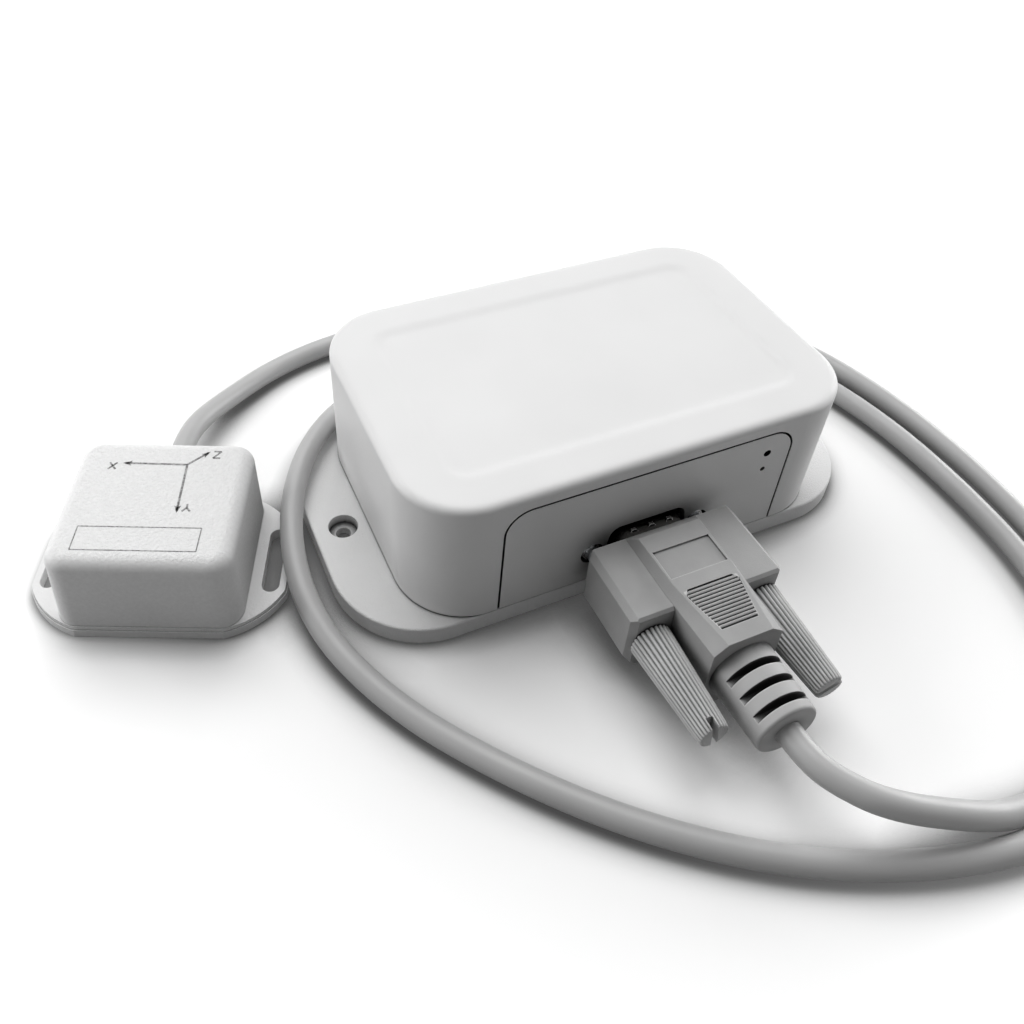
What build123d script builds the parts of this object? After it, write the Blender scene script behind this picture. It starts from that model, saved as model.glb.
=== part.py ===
from build123d import *
import math
import os

# Vibration sensor: a wall-mounted battery box, a screwed-on data lead and a small sensing pod.
# Millimetres. The origin is the middle of the box's underside, +X along its front, +Z up.

# Shared clearances
overrun = 2.0            # how far a cutting tool runs past the material
seat_gap = 0.1           # between pieces that lie on or beside each other
running_gap = 0.05       # round a shaft that turns or slides
part_gap = 0.5           # the visible joint round an inset panel

# Box: cover
case_length = 101.6
case_foot_length = 100.2
case_depth = 65.0
case_height = 36.0
case_corner_radius = 14.7
cover_edge_radius = 1.3
cover_wall = 2.2
cover_top = 2.4
label_length = 82.0
label_depth = 48.0
label_corner_radius = 5.0
label_sink = 0.4
label_slope = 2.0

# Box: base plate
plate_thickness = 4.4
plate_floor = 2.4
plate_edge_radius = 0.5
flange_length = 124.2
flange_corner_radius = 19.6
pocket_length = 76.5
pocket_depth = 57.4
pocket_corner_radius = 2.0
mount_spacing = 111.0
mount_hole_radius = 1.65
mount_head_radius = 3.25
mount_head_sink = 2.4
seal_thickness = 0.35
seal_inset = 0.4

# Box: screws that hold the cover
boss_spacing_x = 83.0
boss_spacing_y = 45.0
boss_radius = 3.3
cover_screw_radius = 1.3
cover_screw_head_radius = 2.6
cover_screw_head = 1.8
cover_screw_length = 13.0
screw_socket_radius = 1.1
screw_socket_sink = 1.0

# Front panel
panel_width = 66.0
panel_height = 27.8
panel_thickness = 1.8
panel_corner_radius = 5.5
lip_width = 1.5
lip_thickness = 1.6
indicator_x = 27.2
light_z = 27.0
reset_z = 22.4
panel_foot_groove = 0.4
pinhole_radius = 0.6
light_pipe_radius = 0.8
light_pipe_flange_radius = 1.8
light_pipe_flange = 1.0

# Nine-way connector, socket side
screw_spacing = 25.0
connector_z = 12.75
flange_plate_width = 30.8
flange_plate_height = 12.5
flange_plate_thickness = 0.5
shell_wall = 0.4
socket_width = 16.3
socket_height = 7.9
shell_corner_radius = 2.2
shell_slope = 10.0
socket_reach = 6.0
socket_gap = 0.3
mating_gap = 0.1
cutout_width = 21.4
cutout_height = 11.7
nut_window_radius = 2.7
nut_radius = 2.0
nut_hex_radius = 2.25
nut_recess = 0.5
nut_tail = 5.0
thread_radius = 1.42
socket_block_width = 19.2
socket_block_height = 11.2
socket_block_depth = 9.5
contact_pitch = 2.77
contact_row_pitch = 2.84
pin_radius = 0.5
contact_side = 0.6
contact_tail_gap = 0.9

# Nine-way connector, plug side
plug_shell_width = 17.9
plug_shell_height = 9.35
dimple_length = 2.0
dimple_width = 1.2
dimple_height = 0.45
dimple_pitch = 4.2
pin_reach = 5.2
plug_block_width = 19.4
plug_block_height = 10.6
plug_block_depth = 7.6
solder_cup = 2.2

# Plug hood
ear_width = 33.8
ear_height = 14.2
ear_depth = 17.8
ear_chamfer = 1.2
ear_under_chamfer = 2.4
hood_depth = 29.3
hood_height = 18.5
hood_shoulder_height = 14.3
hood_width = 16.4
hood_nose_width = 15.0
hood_top_width = 14.2
hood_waist_width = 13.6
hood_nose_top_width = 9.6
hood_waist = 14.2
hood_back_slope = 2.4
inset_length = 12.8
inset_width = 6.7
inset_sink = 0.45
inset_start = 6.4
grip_start = 16.4
grip_length = 9.4
grip_width = 9.7
grip_wide_width = 11.5
grip_wide_at = 1.2
grip_end_width = 7.8
grip_ribs = 12
grip_groove = 0.42
grip_sink = 0.4
ear_bore_radius = 1.7

# Strain relief on the plug
boot_root_radius = 6.7
boot_end_radius = 6.25
boot_length = 13.7
boot_edge_radius = 0.6
boot_slots = 3
boot_slot_width = 1.45
boot_slot_pitch = 3.75
boot_slot_start = 3.6
boot_spine = 2.8

# Thumbscrews
knob_gap = 0.3
knob_length = 21.0
knob_root_radius = 4.25
knob_tip_radius = 3.05
knob_flutes = 18
flute_sink = 0.42
ridge_start_share = -0.30
ridge_end_share = 0.18
groove_start_share = 0.34
groove_end_share = 0.54
knob_slot_width = 1.7
knob_slot_sink = 2.4
stem_in_knob = 6.0
stem_in_nut = 6.3

# Lead
lead_diameter = 5.0
core_room = 3.6
core_radius = 0.55
core_ring_radius = 1.2
arc_share = 0.45         # of the shorter neighbouring run that a bend of the lead takes up

# Circuit board in the box
board_length = 75.0
board_depth = 56.0
board_thickness = 1.6
board_corner_radius = 1.5
board_lift = 2.4
standoff_radius = 3.2
board_screw_inset = 3.5
board_screw_radius = 1.2
board_screw_head_radius = 2.3
board_screw_head = 1.6
board_screw_bite = 3.2

# Battery on the board
cell_radius = 7.25
cell_length = 48.8
cell_nub_radius = 2.6
cell_nub = 1.7
cell_crimp_radius = 0.6
holder_wall = 1.4
holder_floor = 1.2
holder_height = 11.5
holder_y = 11.0
spring_length = 2.6
spring_root_radius = 3.4
spring_tip_radius = 1.8
spring_plate = 0.4
spring_plate_side = 9.0

# Parts on the board
radio_length = 17.0
radio_width = 16.0
radio_height = 2.8
radio_x = -24.2
radio_y = -13.7
antenna_length = 34.0
antenna_height = 12.0
antenna_thickness = 0.8
antenna_x = -34.6
antenna_y = 3.0
processor_side = 7.0
processor_height = 1.0
processor_x = 10.0
processor_y = -12.0
driver_length = 5.0
driver_width = 4.0
driver_height = 1.6
driver_x = -3.0
driver_y = -12.5
capacitor_radius = 3.1
capacitor_height = 7.0
capacitor_pitch = 7.2
capacitor_x = 20.0
capacitor_y = -12.0

# Indicator and reset board behind the panel
indicator_width = 10.0
indicator_thickness = 1.2
indicator_setback = 6.4
indicator_top = 30.0
header_width = 8.0
header_depth = 2.5
header_height = 4.0
light_side = 1.6
light_height = 0.8
switch_side = 4.0
switch_height = 2.6
button_radius = 0.75
button_length = 1.9
button_in_switch = 1.2
button_travel = 0.3

# Sensing pod
pod_x = -92.6
pod_y = 6.8
pod_turn = -23.0
pod_length = 37.2
pod_depth = 34.6
pod_height = 21.3
pod_top_share = 0.974
pod_corner_radius = 4.4
pod_edge_radius = 2.9
pod_wall = 1.8
pod_base_thickness = 2.8
pod_base_step = 0.9
pod_base_step_in = 0.3
pod_flange_length = 52.8
pod_flange_depth = 35.8
pod_flange_end_radius = 18.7
pod_flange_end_x = 9.4
pod_slot_spacing = 45.8
pod_slot_width = 3.7
pod_slot_length = 16.6
pod_boss_spacing_x = 28.0
pod_boss_spacing_y = 25.4
pod_boss_radius = 2.2
pod_screw_radius = 0.9
pod_screw_head_radius = 1.8
pod_screw_head = 1.2
pod_screw_length = 8.0
pod_board_length = 30.6
pod_board_depth = 19.4
pod_board_thickness = 1.2
pod_board_lift = 3.6
pod_post_radius = 1.8
pod_post_spacing = 20.0
sensor_side = 5.0
sensor_height = 1.7
pod_chip_length = 4.0
pod_chip_height = 1.2
pod_chip_pitch = 7.5
terminal_width = 10.4
terminal_depth = 4.2
terminal_height = 3.4
terminal_y = 7.0
gland_x = -1.5
gland_z = 9.0
gland_collar_radius = 4.4
gland_collar = 1.2
gland_neck_radius = 3.6
gland_inner_collar = 1.2
lead_tail_in_pod = 4.0
tie_width = 2.4
tie_thickness = 0.9

# Route of the lead between its two straight ends, from the plug to the pod, chosen by hand
lead_route = [
    (0.0, -86.5, 12.75),
    (2.8, -93.2, 12.4),
    (8.8, -99.2, 11.0),
    (19.5, -102.6, 7.2),
    (33.0, -103.4, 3.2),
    (49.0, -103.6, 2.5),
    (64.0, -95.5, 2.5),
    (75.0, -81.0, 2.5),
    (81.0, -61.5, 2.5),
    (83.0, -39.0, 2.5),
    (82.0, -15.0, 2.5),
    (75.5, 8.5, 2.5),
    (61.0, 28.5, 2.5),
    (40.0, 41.5, 2.5),
    (15.5, 46.5, 2.5),
    (-9.5, 48.5, 4.0),
    (-34.0, 46.0, 8.0),
    (-57.0, 30.0, 12.0),
    (-67.5, 6.5, 12.0),
    (-70.0, -18.0, 9.0),
    (-61.5, -42.0, 3.2),
    (-46.0, -63.0, 2.5),
    (-28.5, -81.0, 2.5),
    (-8.5, -95.5, 2.5),
    (14.5, -105.9, 2.5),
    (39.0, -110.8, 2.5),
    (64.0, -105.8, 2.5),
    (82.0, -87.5, 2.5),
    (89.0, -62.5, 2.5),
    (91.0, -37.5, 2.5),
    (89.5, -12.5, 2.5),
    (83.5, 11.5, 2.5),
    (71.5, 33.0, 2.5),
    (52.5, 49.0, 2.5),
    (29.5, 58.0, 2.5),
    (8.0, 63.5, 2.5),
    (-12.0, 66.0, 2.5),
    (-36.5, 64.5, 2.5),
    (-56.0, 59.3, 2.5),
    (-69.8, 50.0, 4.0),
    (-78.7, 41.0, 7.2),
    (-83.63, 31.78, 9.0),
]

# Places that follow from the sizes above
front_y = -case_depth / 2
panel_back_y = front_y + panel_thickness
socket_face_y = panel_back_y + socket_gap
socket_back_y = socket_face_y + flange_plate_thickness
plug_face_y = socket_face_y - socket_reach - mating_gap
ear_front_y = plug_face_y - ear_depth
hood_front_y = plug_face_y - hood_depth
boot_end_y = hood_front_y - boot_length
knob_root_y = ear_front_y - knob_gap
knob_tip_y = knob_root_y - knob_length
pin_tail_y = plug_face_y - flange_plate_thickness - seat_gap - plug_block_depth - solder_cup
hood_well_end_y = pin_tail_y - core_room
board_underside = plate_floor + board_lift
board_top = board_underside + board_thickness
inner_top = case_height - cover_top
cover_foot = plate_thickness + seal_thickness
indicator_front_y = front_y + indicator_setback
lead_radius = lead_diameter / 2
X_WAY = (1, 0, 0)
UP = (0, 0, 1)


def block(length, depth, height, x=0, y=0, z=0):
    """Upright box whose footprint is centred on x, y and whose underside is at z."""
    return Pos(x, y, z) * Box(length, depth, height, align=(Align.CENTER, Align.CENTER, Align.MIN))


def post(radius, height, x=0, y=0, z=0):
    """Upright cylinder standing on z."""
    return Pos(x, y, z) * Cylinder(radius, height, align=(Align.CENTER, Align.CENTER, Align.MIN))


def slab(length, depth, radius, height, z=0):
    """Upright slab with rounded corners standing on z."""
    return Pos(0, 0, z) * extrude(RectangleRounded(length, depth, radius), height)


def facing(y, x=0, z=0):
    """Plane across the Y axis seen from the front: its own X is X, its own Y is up."""
    return Plane(origin=(x, y, z), x_dir=X_WAY, z_dir=(0, -1, 0))


def forward(sketch, y_back, length, x=0, z=0):
    """Extrudes a front-view sketch towards the front, starting at y_back."""
    return extrude(facing(y_back, x, z) * sketch, length)


def bar(radius, y_back, length, x=0, z=0):
    """Cylinder along the Y axis, from y_back towards the front."""
    return forward(Circle(radius), y_back, length, x, z)


def four(spacing_x, spacing_y):
    """The four corners of a rectangle."""
    return [(sx * spacing_x / 2, sy * spacing_y / 2) for sx in (-1, 1) for sy in (-1, 1)]


def joined(pieces):
    """One shape from several that touch or overlap."""
    whole = pieces[0]
    for piece in pieces[1:]:
        whole = whole + piece
    return whole


def cut_by(shape, tools):
    """A shape with every tool cut out of it."""
    for tool in tools:
        shape = shape - tool
    return shape


# Box

def panel_outline(margin, below=0):
    """The panel's front view grown by a margin: square at the foot, rounded at the top."""
    width = panel_width + 2 * margin
    height = panel_height + margin + below
    face = Pos(0, -below) * Rectangle(width, height, align=(Align.CENTER, Align.MIN))
    top_corners = face.vertices().group_by(Axis.Y)[-1]
    return fillet(top_corners, panel_corner_radius + margin)


def cover_shell():
    foot = Pos(0, 0, cover_foot) * RectangleRounded(case_foot_length, case_depth, case_corner_radius)
    head = Pos(0, 0, case_height) * RectangleRounded(case_length, case_depth, case_corner_radius)
    outer = loft([foot, head], ruled=True)
    outer = fillet(outer.edges().group_by(Axis.Z)[-1], cover_edge_radius)
    inner = slab(case_foot_length - 2 * cover_wall, case_depth - 2 * cover_wall,
                 case_corner_radius - cover_wall, inner_top - plate_thickness, plate_thickness)
    return outer - inner


def label_recess():
    """Shallow sloped recess for a label in the cover's top."""
    low = Pos(0, 0, case_height - label_sink) * RectangleRounded(
        label_length - 2 * label_slope, label_depth - 2 * label_slope, label_corner_radius - label_slope)
    high = Pos(0, 0, case_height) * RectangleRounded(label_length, label_depth, label_corner_radius)
    return loft([low, high], ruled=True)


def top_cover():
    lip_back = panel_back_y + lip_thickness
    lip = forward(panel_outline(part_gap + lip_width), lip_back, lip_thickness, z=plate_thickness)
    lip = lip & block(case_length, case_depth, case_height, z=cover_foot)
    bosses = [post(boss_radius, inner_top - plate_thickness, x, y, plate_thickness)
              for x, y in four(boss_spacing_x, boss_spacing_y)]
    cover = joined([cover_shell() + lip] + bosses)
    wide = forward(panel_outline(part_gap, overrun), panel_back_y, panel_thickness + overrun,
                   z=plate_thickness)
    narrow = forward(panel_outline(-lip_width, overrun), lip_back + overrun,
                     lip_thickness + overrun + panel_thickness, z=plate_thickness)
    bite = cover_screw_length - plate_thickness + cover_screw_head + overrun
    holes = [post(cover_screw_radius, bite, x, y, plate_thickness)
             for x, y in four(boss_spacing_x, boss_spacing_y)]
    return cut_by(cover, [wide, narrow, label_recess()] + holes)


def base_plate():
    plate = slab(flange_length, case_depth, flange_corner_radius, plate_thickness)
    plate = fillet(plate.edges().group_by(Axis.Z)[-1], plate_edge_radius)
    plate = plate - slab(pocket_length, pocket_depth, pocket_corner_radius, plate_thickness, plate_floor)
    stands = [post(standoff_radius, board_lift, x, y, plate_floor) for x, y in board_screw_places()]
    plate = joined([plate] + stands)
    tools = []
    for side in (-1, 1):
        x = side * mount_spacing / 2
        tools.append(post(mount_hole_radius, plate_thickness, x))
        tools.append(post(mount_head_radius, mount_head_sink, x, z=plate_thickness - mount_head_sink))
    for x, y in four(boss_spacing_x, boss_spacing_y):
        tools.append(post(cover_screw_radius + seat_gap, plate_thickness, x, y))
        tools.append(post(cover_screw_head_radius + seat_gap, cover_screw_head + seat_gap, x, y))
    for x, y in board_screw_places():
        tools.append(post(board_screw_radius, board_screw_bite, x, y, board_underside - board_screw_bite))
    return cut_by(plate, tools)


def base_seal():
    """Flat gasket under the cover's foot, open where the panel stands."""
    inset = 2 * seal_inset
    wall = 2 * cover_wall
    ring = slab(case_foot_length - inset, case_depth - inset, case_corner_radius - seal_inset,
                seal_thickness, plate_thickness)
    ring = ring - slab(case_foot_length - wall, case_depth - wall, case_corner_radius - cover_wall,
                       seal_thickness, plate_thickness)
    width = panel_width + 2 * part_gap
    return ring - block(width, case_depth / 2, seal_thickness, y=front_y, z=plate_thickness)


def d_profile(width, height, radius):
    """Trapezium with rounded corners and its narrow side up."""
    lean = height * math.tan(math.radians(shell_slope))
    points = [(-width / 2, -height / 2), (width / 2, -height / 2),
              (width / 2 - lean, height / 2), (lean - width / 2, height / 2)]
    face = make_face(Polyline(*points, close=True))
    return fillet(face.vertices(), radius)


def front_panel():
    panel = forward(panel_outline(0), panel_back_y, panel_thickness, z=plate_thickness)
    window = forward(d_profile(cutout_width, cutout_height, shell_corner_radius + part_gap),
                     panel_back_y, panel_thickness, z=connector_z)
    tools = [window]
    for side in (-1, 1):
        x = side * screw_spacing / 2
        tools.append(bar(nut_window_radius, panel_back_y, panel_thickness, x, connector_z))
    tools.append(bar(light_pipe_radius + seat_gap, panel_back_y, panel_thickness, indicator_x, light_z))
    tools.append(bar(pinhole_radius, panel_back_y, panel_thickness, indicator_x, reset_z))
    groove_width = panel_width + 2 * overrun
    tools.append(block(groove_width, 2 * panel_foot_groove, panel_foot_groove, y=front_y, z=plate_thickness))
    return cut_by(panel, tools)


def screw_from_below(radius, length, head_radius, head, x, y):
    """Socket-head screw with its head at the bottom and its shank up."""
    screw = post(head_radius, head, x, y) + post(radius, length - head, x, y, head)
    return screw - post(screw_socket_radius, screw_socket_sink, x, y)


def cover_screws():
    return [screw_from_below(cover_screw_radius - seat_gap, cover_screw_length, cover_screw_head_radius,
                             cover_screw_head, x, y) for x, y in four(boss_spacing_x, boss_spacing_y)]


# Circuit board and what stands on it

def contact_places():
    """The nine contacts: four in the upper, narrow row and five below."""
    places = []
    for count, z in ((4, contact_row_pitch / 2), (5, -contact_row_pitch / 2)):
        for index in range(count):
            places.append(((index - (count - 1) / 2) * contact_pitch, connector_z + z))
    return places


def tail_y(z):
    """Where a contact's tail turns down: the upper row's tails are further back."""
    row = 2 if z > connector_z else 1
    block_back = socket_back_y + socket_block_depth
    return block_back + contact_tail_gap + (row - 1) * contact_row_pitch


def board_screw_places():
    return four(board_length - 2 * board_screw_inset, board_depth - 2 * board_screw_inset)


def circuit_board():
    board = slab(board_length, board_depth, board_corner_radius, board_thickness, board_underside)
    tools = [post(board_screw_radius + seat_gap, board_thickness, x, y, board_underside)
             for x, y in board_screw_places()]
    side = contact_side + 2 * seat_gap
    for x, z in contact_places():
        tools.append(block(side, side, board_thickness, x, tail_y(z), board_underside))
    return cut_by(board, tools)


def board_screws():
    screws = []
    for x, y in board_screw_places():
        bite = board_screw_bite + board_thickness - seat_gap
        screw = post(board_screw_radius, bite, x, y, board_top - bite)
        screw = screw + post(board_screw_head_radius, board_screw_head, x, y, board_top)
        screws.append(screw - post(screw_socket_radius, screw_socket_sink, x, y,
                                   board_top + board_screw_head - screw_socket_sink))
    return screws


def socket_shell():
    plate = forward(RectangleRounded(flange_plate_width, flange_plate_height, shell_wall * 2),
                    socket_back_y, flange_plate_thickness, z=connector_z)
    outer = d_profile(socket_width, socket_height, shell_corner_radius)
    inner = d_profile(socket_width - 2 * shell_wall, socket_height - 2 * shell_wall,
                      shell_corner_radius - shell_wall)
    reach = socket_reach + flange_plate_thickness
    shell = plate + forward(outer, socket_back_y, reach, z=connector_z)
    shell = shell - forward(inner, socket_back_y, reach, z=connector_z)
    for side in (-1, 1):
        x = side * screw_spacing / 2
        shell = shell - bar(nut_radius, socket_back_y, flange_plate_thickness, x, connector_z)
    return shell


def socket_insulator():
    clear = 2 * (shell_wall + seat_gap)
    nose = forward(d_profile(socket_width - clear, socket_height - clear, shell_corner_radius - clear / 2),
                   socket_back_y, socket_reach + flange_plate_thickness - seat_gap, z=connector_z)
    back = block(socket_block_width, socket_block_depth, socket_block_height,
                 y=socket_back_y + socket_block_depth / 2, z=board_top)
    body = nose + back
    nose_y = socket_face_y - socket_reach + seat_gap
    tools = []
    for x, z in contact_places():
        depth = pin_reach + overrun / 2
        tools.append(bar(pin_radius + running_gap, nose_y + depth, depth, x, z))
        side = contact_side + seat_gap
        back_y = socket_back_y + socket_block_depth
        tools.append(forward(Rectangle(side, side), back_y, back_y - nose_y - depth, x, z))
    return cut_by(body, tools)


def socket_contacts():
    """Square contacts that run back through the block and turn down into the board."""
    contacts = []
    start_y = socket_face_y - socket_reach + seat_gap + pin_reach + overrun / 2
    for x, z in contact_places():
        end_y = tail_y(z) + contact_side / 2
        run = forward(Rectangle(contact_side, contact_side), end_y, end_y - start_y, x, z)
        low = board_underside - contact_side
        tail = block(contact_side, contact_side, z - low, x, tail_y(z), low)
        contacts.append(run + tail)
    return contacts


def jack_nuts():
    nuts = []
    front = front_y + nut_recess
    for side in (-1, 1):
        x = side * screw_spacing / 2
        collar = forward(RegularPolygon(nut_hex_radius, 6), socket_face_y, socket_face_y - front,
                         x, connector_z)
        barrel = bar(nut_radius, socket_face_y + nut_tail, nut_tail, x, connector_z)
        bore = bar(thread_radius + running_gap, socket_face_y + nut_tail, nut_tail + socket_face_y - front,
                   x, connector_z)
        nuts.append(collar + barrel - bore)
    return nuts


holder_length = cell_length + cell_nub + spring_length + 2 * spring_plate + 2 * holder_wall
holder_depth = 4 * cell_radius + 3 * seat_gap + 2 * holder_wall
cell_z = board_top + holder_floor + cell_radius


def cell_places():
    """Each cell's Y and the side that its positive end faces."""
    step = cell_radius + seat_gap / 2
    return [(holder_y - step, 1), (holder_y + step, -1)]


def battery_holder():
    tray = block(holder_length, holder_depth, holder_height, y=holder_y, z=board_top)
    well = block(holder_length - 2 * holder_wall, holder_depth - 2 * holder_wall, holder_height,
                 y=holder_y, z=board_top + holder_floor)
    return tray - well


def battery_cells():
    cells = []
    for y, way in cell_places():
        middle = -way * (cell_nub - spring_length) / 2
        body = Pos(middle, y, cell_z) * (Rot(0, 90, 0) * Cylinder(cell_radius, cell_length))
        body = fillet(body.edges(), cell_crimp_radius)
        nub = Rot(0, 90, 0) * Cylinder(cell_nub_radius, cell_nub)
        cells.append(body + Pos(middle + way * (cell_length + cell_nub) / 2, y, cell_z) * nub)
    return cells


def battery_contacts():
    """A flat plate at each positive end and a plate with a tapered spring at each negative end."""
    contacts = []
    wall_x = holder_length / 2 - holder_wall
    for y, way in cell_places():
        for side in (-1, 1):
            plate = Pos(side * (wall_x - spring_plate / 2), y, cell_z) * Box(
                spring_plate, spring_plate_side, spring_plate_side)
            if side != way:
                spring = Cone(spring_root_radius, spring_tip_radius, spring_length)
                tilt = Rot(0, -90 * side, 0)
                spring_x = side * (wall_x - spring_plate - spring_length / 2)
                plate = plate + Pos(spring_x, y, cell_z) * (tilt * spring)
            contacts.append(plate)
    return contacts


def radio_module():
    carrier = block(radio_length, radio_width, radio_height / 4, radio_x, radio_y, board_top)
    can = block(radio_length - board_thickness, radio_width - board_thickness, radio_height,
                radio_x, radio_y, board_top)
    return carrier + chamfer(can.edges().group_by(Axis.Z)[-1], radio_height / 8)


def antenna():
    """Upright strip soldered to the board's left end."""
    strip = block(antenna_thickness, antenna_length, antenna_height, antenna_x, antenna_y, board_top)
    return fillet(strip.edges().filter_by(Axis.X).group_by(Axis.Z)[-1], antenna_height / 6)


def processor():
    chip = block(processor_side, processor_side, processor_height, processor_x, processor_y, board_top)
    return chamfer(chip.edges().group_by(Axis.Z)[-1], processor_height / 5)


def line_driver():
    chip = block(driver_length, driver_width, driver_height, driver_x, driver_y, board_top)
    return chamfer(chip.edges().group_by(Axis.Z)[-1], driver_height / 5)


def capacitors():
    cans = []
    for index in range(2):
        x = capacitor_x + index * capacitor_pitch
        can = post(capacitor_radius, capacitor_height, x, capacitor_y, board_top)
        cans.append(fillet(can.edges().group_by(Axis.Z)[-1], capacitor_radius / 6))
    return cans


# Indicator and reset button

def indicator_board():
    foot = board_top + header_height
    return block(indicator_width, indicator_thickness, indicator_top - foot, indicator_x,
                 indicator_front_y + indicator_thickness / 2, foot)


def indicator_header():
    """Angled header that carries the upright board on the main board."""
    y = indicator_front_y + indicator_thickness + header_depth / 2
    base = block(header_width, header_depth, header_height, indicator_x, y, board_top)
    tongue = block(header_width, header_depth, header_height, indicator_x, y, board_top + header_height)
    return base + tongue


def status_light():
    lamp = forward(Rectangle(light_side, light_side), indicator_front_y, light_height, indicator_x, light_z)
    return chamfer(lamp.edges().group_by(Axis.Y)[0], light_height / 4)


def light_pipe():
    """Clear rod from the lamp to the panel's face, with a collar behind the panel."""
    back = indicator_front_y - light_height - seat_gap
    rod = bar(light_pipe_radius, back, back - front_y, indicator_x, light_z)
    return rod + bar(light_pipe_flange_radius, panel_back_y + light_pipe_flange, light_pipe_flange,
                     indicator_x, light_z)


def reset_switch():
    body = forward(Rectangle(switch_side, switch_side), indicator_front_y, switch_height,
                   indicator_x, reset_z)
    body = chamfer(body.edges().group_by(Axis.Y)[0], switch_height / 10)
    depth = button_in_switch + button_travel + seat_gap
    face = indicator_front_y - switch_height
    return body - bar(button_radius + running_gap, face + depth, depth, indicator_x, reset_z)


def reset_button():
    face = indicator_front_y - switch_height
    return bar(button_radius, face + button_in_switch, button_length, indicator_x, reset_z)


# Plug

def plug_shell():
    plate = forward(RectangleRounded(flange_plate_width, flange_plate_height, shell_wall * 2),
                    plug_face_y, flange_plate_thickness, z=connector_z)
    outer = d_profile(plug_shell_width, plug_shell_height, shell_corner_radius + shell_wall)
    inner = d_profile(plug_shell_width - 2 * shell_wall, plug_shell_height - 2 * shell_wall,
                      shell_corner_radius)
    reach = socket_reach + flange_plate_thickness
    low = plug_face_y - flange_plate_thickness
    shell = plate + forward(outer, low, -reach + mating_gap, z=connector_z)
    for index in (-1, 0, 1):
        shell = shell + dimple(index * dimple_pitch)
    shell = shell - forward(inner, low, -reach, z=connector_z)
    for side in (-1, 1):
        x = side * screw_spacing / 2
        shell = shell - bar(ear_bore_radius, low, -flange_plate_thickness, x, connector_z)
    return shell


def dimple(x):
    """Low sprung bump on the top of the plug's metal shell."""
    y = plug_face_y + socket_reach / 2
    top = connector_z + plug_shell_height / 2
    base = Pos(x, y, top - shell_wall / 2) * Rectangle(dimple_length, dimple_width)
    crown = Pos(x, y, top + dimple_height) * Rectangle(dimple_length / 2, dimple_width / 2)
    return loft([base, crown], ruled=True)


def plug_insulator():
    clear = 2 * (shell_wall + seat_gap)
    face = d_profile(plug_shell_width - clear, plug_shell_height - clear, shell_corner_radius - seat_gap)
    nose = forward(face, plug_face_y - seat_gap, flange_plate_thickness, z=connector_z)
    back_y = plug_face_y - flange_plate_thickness - seat_gap
    block_face = Rectangle(plug_block_width, plug_block_height)
    body = nose + forward(block_face, back_y, plug_block_depth, z=connector_z)
    depth = plug_block_depth + flange_plate_thickness
    holes = [bar(pin_radius + running_gap, plug_face_y, depth + overrun, x, z) for x, z in contact_places()]
    return cut_by(body, holes)


def plug_pins():
    tip = socket_face_y - socket_reach + seat_gap + pin_reach
    pins = []
    for x, z in contact_places():
        pin = bar(pin_radius, tip, tip - pin_tail_y, x, z)
        pins.append(chamfer(pin.edges().group_by(Axis.Y)[-1], pin_radius / 2))
    return pins


def hood_section(y, half_width, half_top):
    """Front view of the hood's middle: straight sides with sloped shoulders above and below."""
    shoulder = hood_shoulder_height / 2
    crown = hood_height / 2
    right = [(half_top, -crown), (half_width, -shoulder), (half_width, shoulder), (half_top, crown)]
    left = [(-x, z) for x, z in reversed(right)]
    return facing(y, z=connector_z) * make_face(Polyline(*(right + left), close=True))


def hood_middle():
    waist_y = plug_face_y - hood_waist
    back = hood_section(plug_face_y, hood_width / 2, hood_top_width / 2)
    waist = hood_section(waist_y, hood_width / 2, hood_waist_width / 2)
    nose = hood_section(hood_front_y, hood_nose_width / 2, hood_nose_top_width / 2)
    middle = loft([back, waist], ruled=True) + loft([waist, nose], ruled=True)
    shoulder = hood_shoulder_height / 2
    crown = hood_height / 2
    slope_y = plug_face_y - hood_back_slope
    side = [(plug_face_y, -shoulder), (slope_y, -crown), (hood_front_y, -crown),
            (hood_front_y, crown), (slope_y, crown), (plug_face_y, shoulder)]
    across = Plane(origin=(-hood_width, 0, connector_z), x_dir=(0, 1, 0), z_dir=X_WAY)
    return middle & extrude(across * make_face(Polyline(*side, close=True)), 2 * hood_width)


def hood_ears():
    ears = forward(Rectangle(ear_width, ear_height), plug_face_y, ear_depth, z=connector_z)
    ears = chamfer(ears.edges().filter_by(Axis.Y).group_by(Axis.Z)[-1], ear_chamfer)
    ears = chamfer(ears.edges().filter_by(Axis.Y).group_by(Axis.Z)[0], ear_under_chamfer)
    ears = chamfer(ears.edges().filter_by(Axis.Z), ear_chamfer)
    front_top = ears.edges().filter_by(Axis.X).group_by(Axis.Z)[-1].sort_by(Axis.Y)[0]
    return chamfer(front_top, ear_chamfer / 2)


def grip_width_at(depth):
    """Width of the ribbed patch at a distance from its start: widens, then narrows to the nose."""
    if depth < grip_wide_at:
        return grip_width + (grip_wide_width - grip_width) * depth / grip_wide_at
    share = (depth - grip_wide_at) / (grip_length - grip_wide_at)
    return grip_wide_width + (grip_end_width - grip_wide_width) * share


def hood_marks():
    """The sunk rectangle and the grip's grooves, on the hood's upper side."""
    top = connector_z + hood_height / 2
    marks = [block(inset_length, inset_width, inset_sink + overrun,
                   y=plug_face_y - inset_start - inset_width / 2, z=top - inset_sink)]
    pitch = grip_length / grip_ribs
    for index in range(grip_ribs):
        depth = (index + 1 / 2) * pitch
        y = plug_face_y - grip_start - depth
        marks.append(block(grip_width_at(depth), grip_groove, grip_sink + overrun, y=y, z=top - grip_sink))
    return marks


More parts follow.
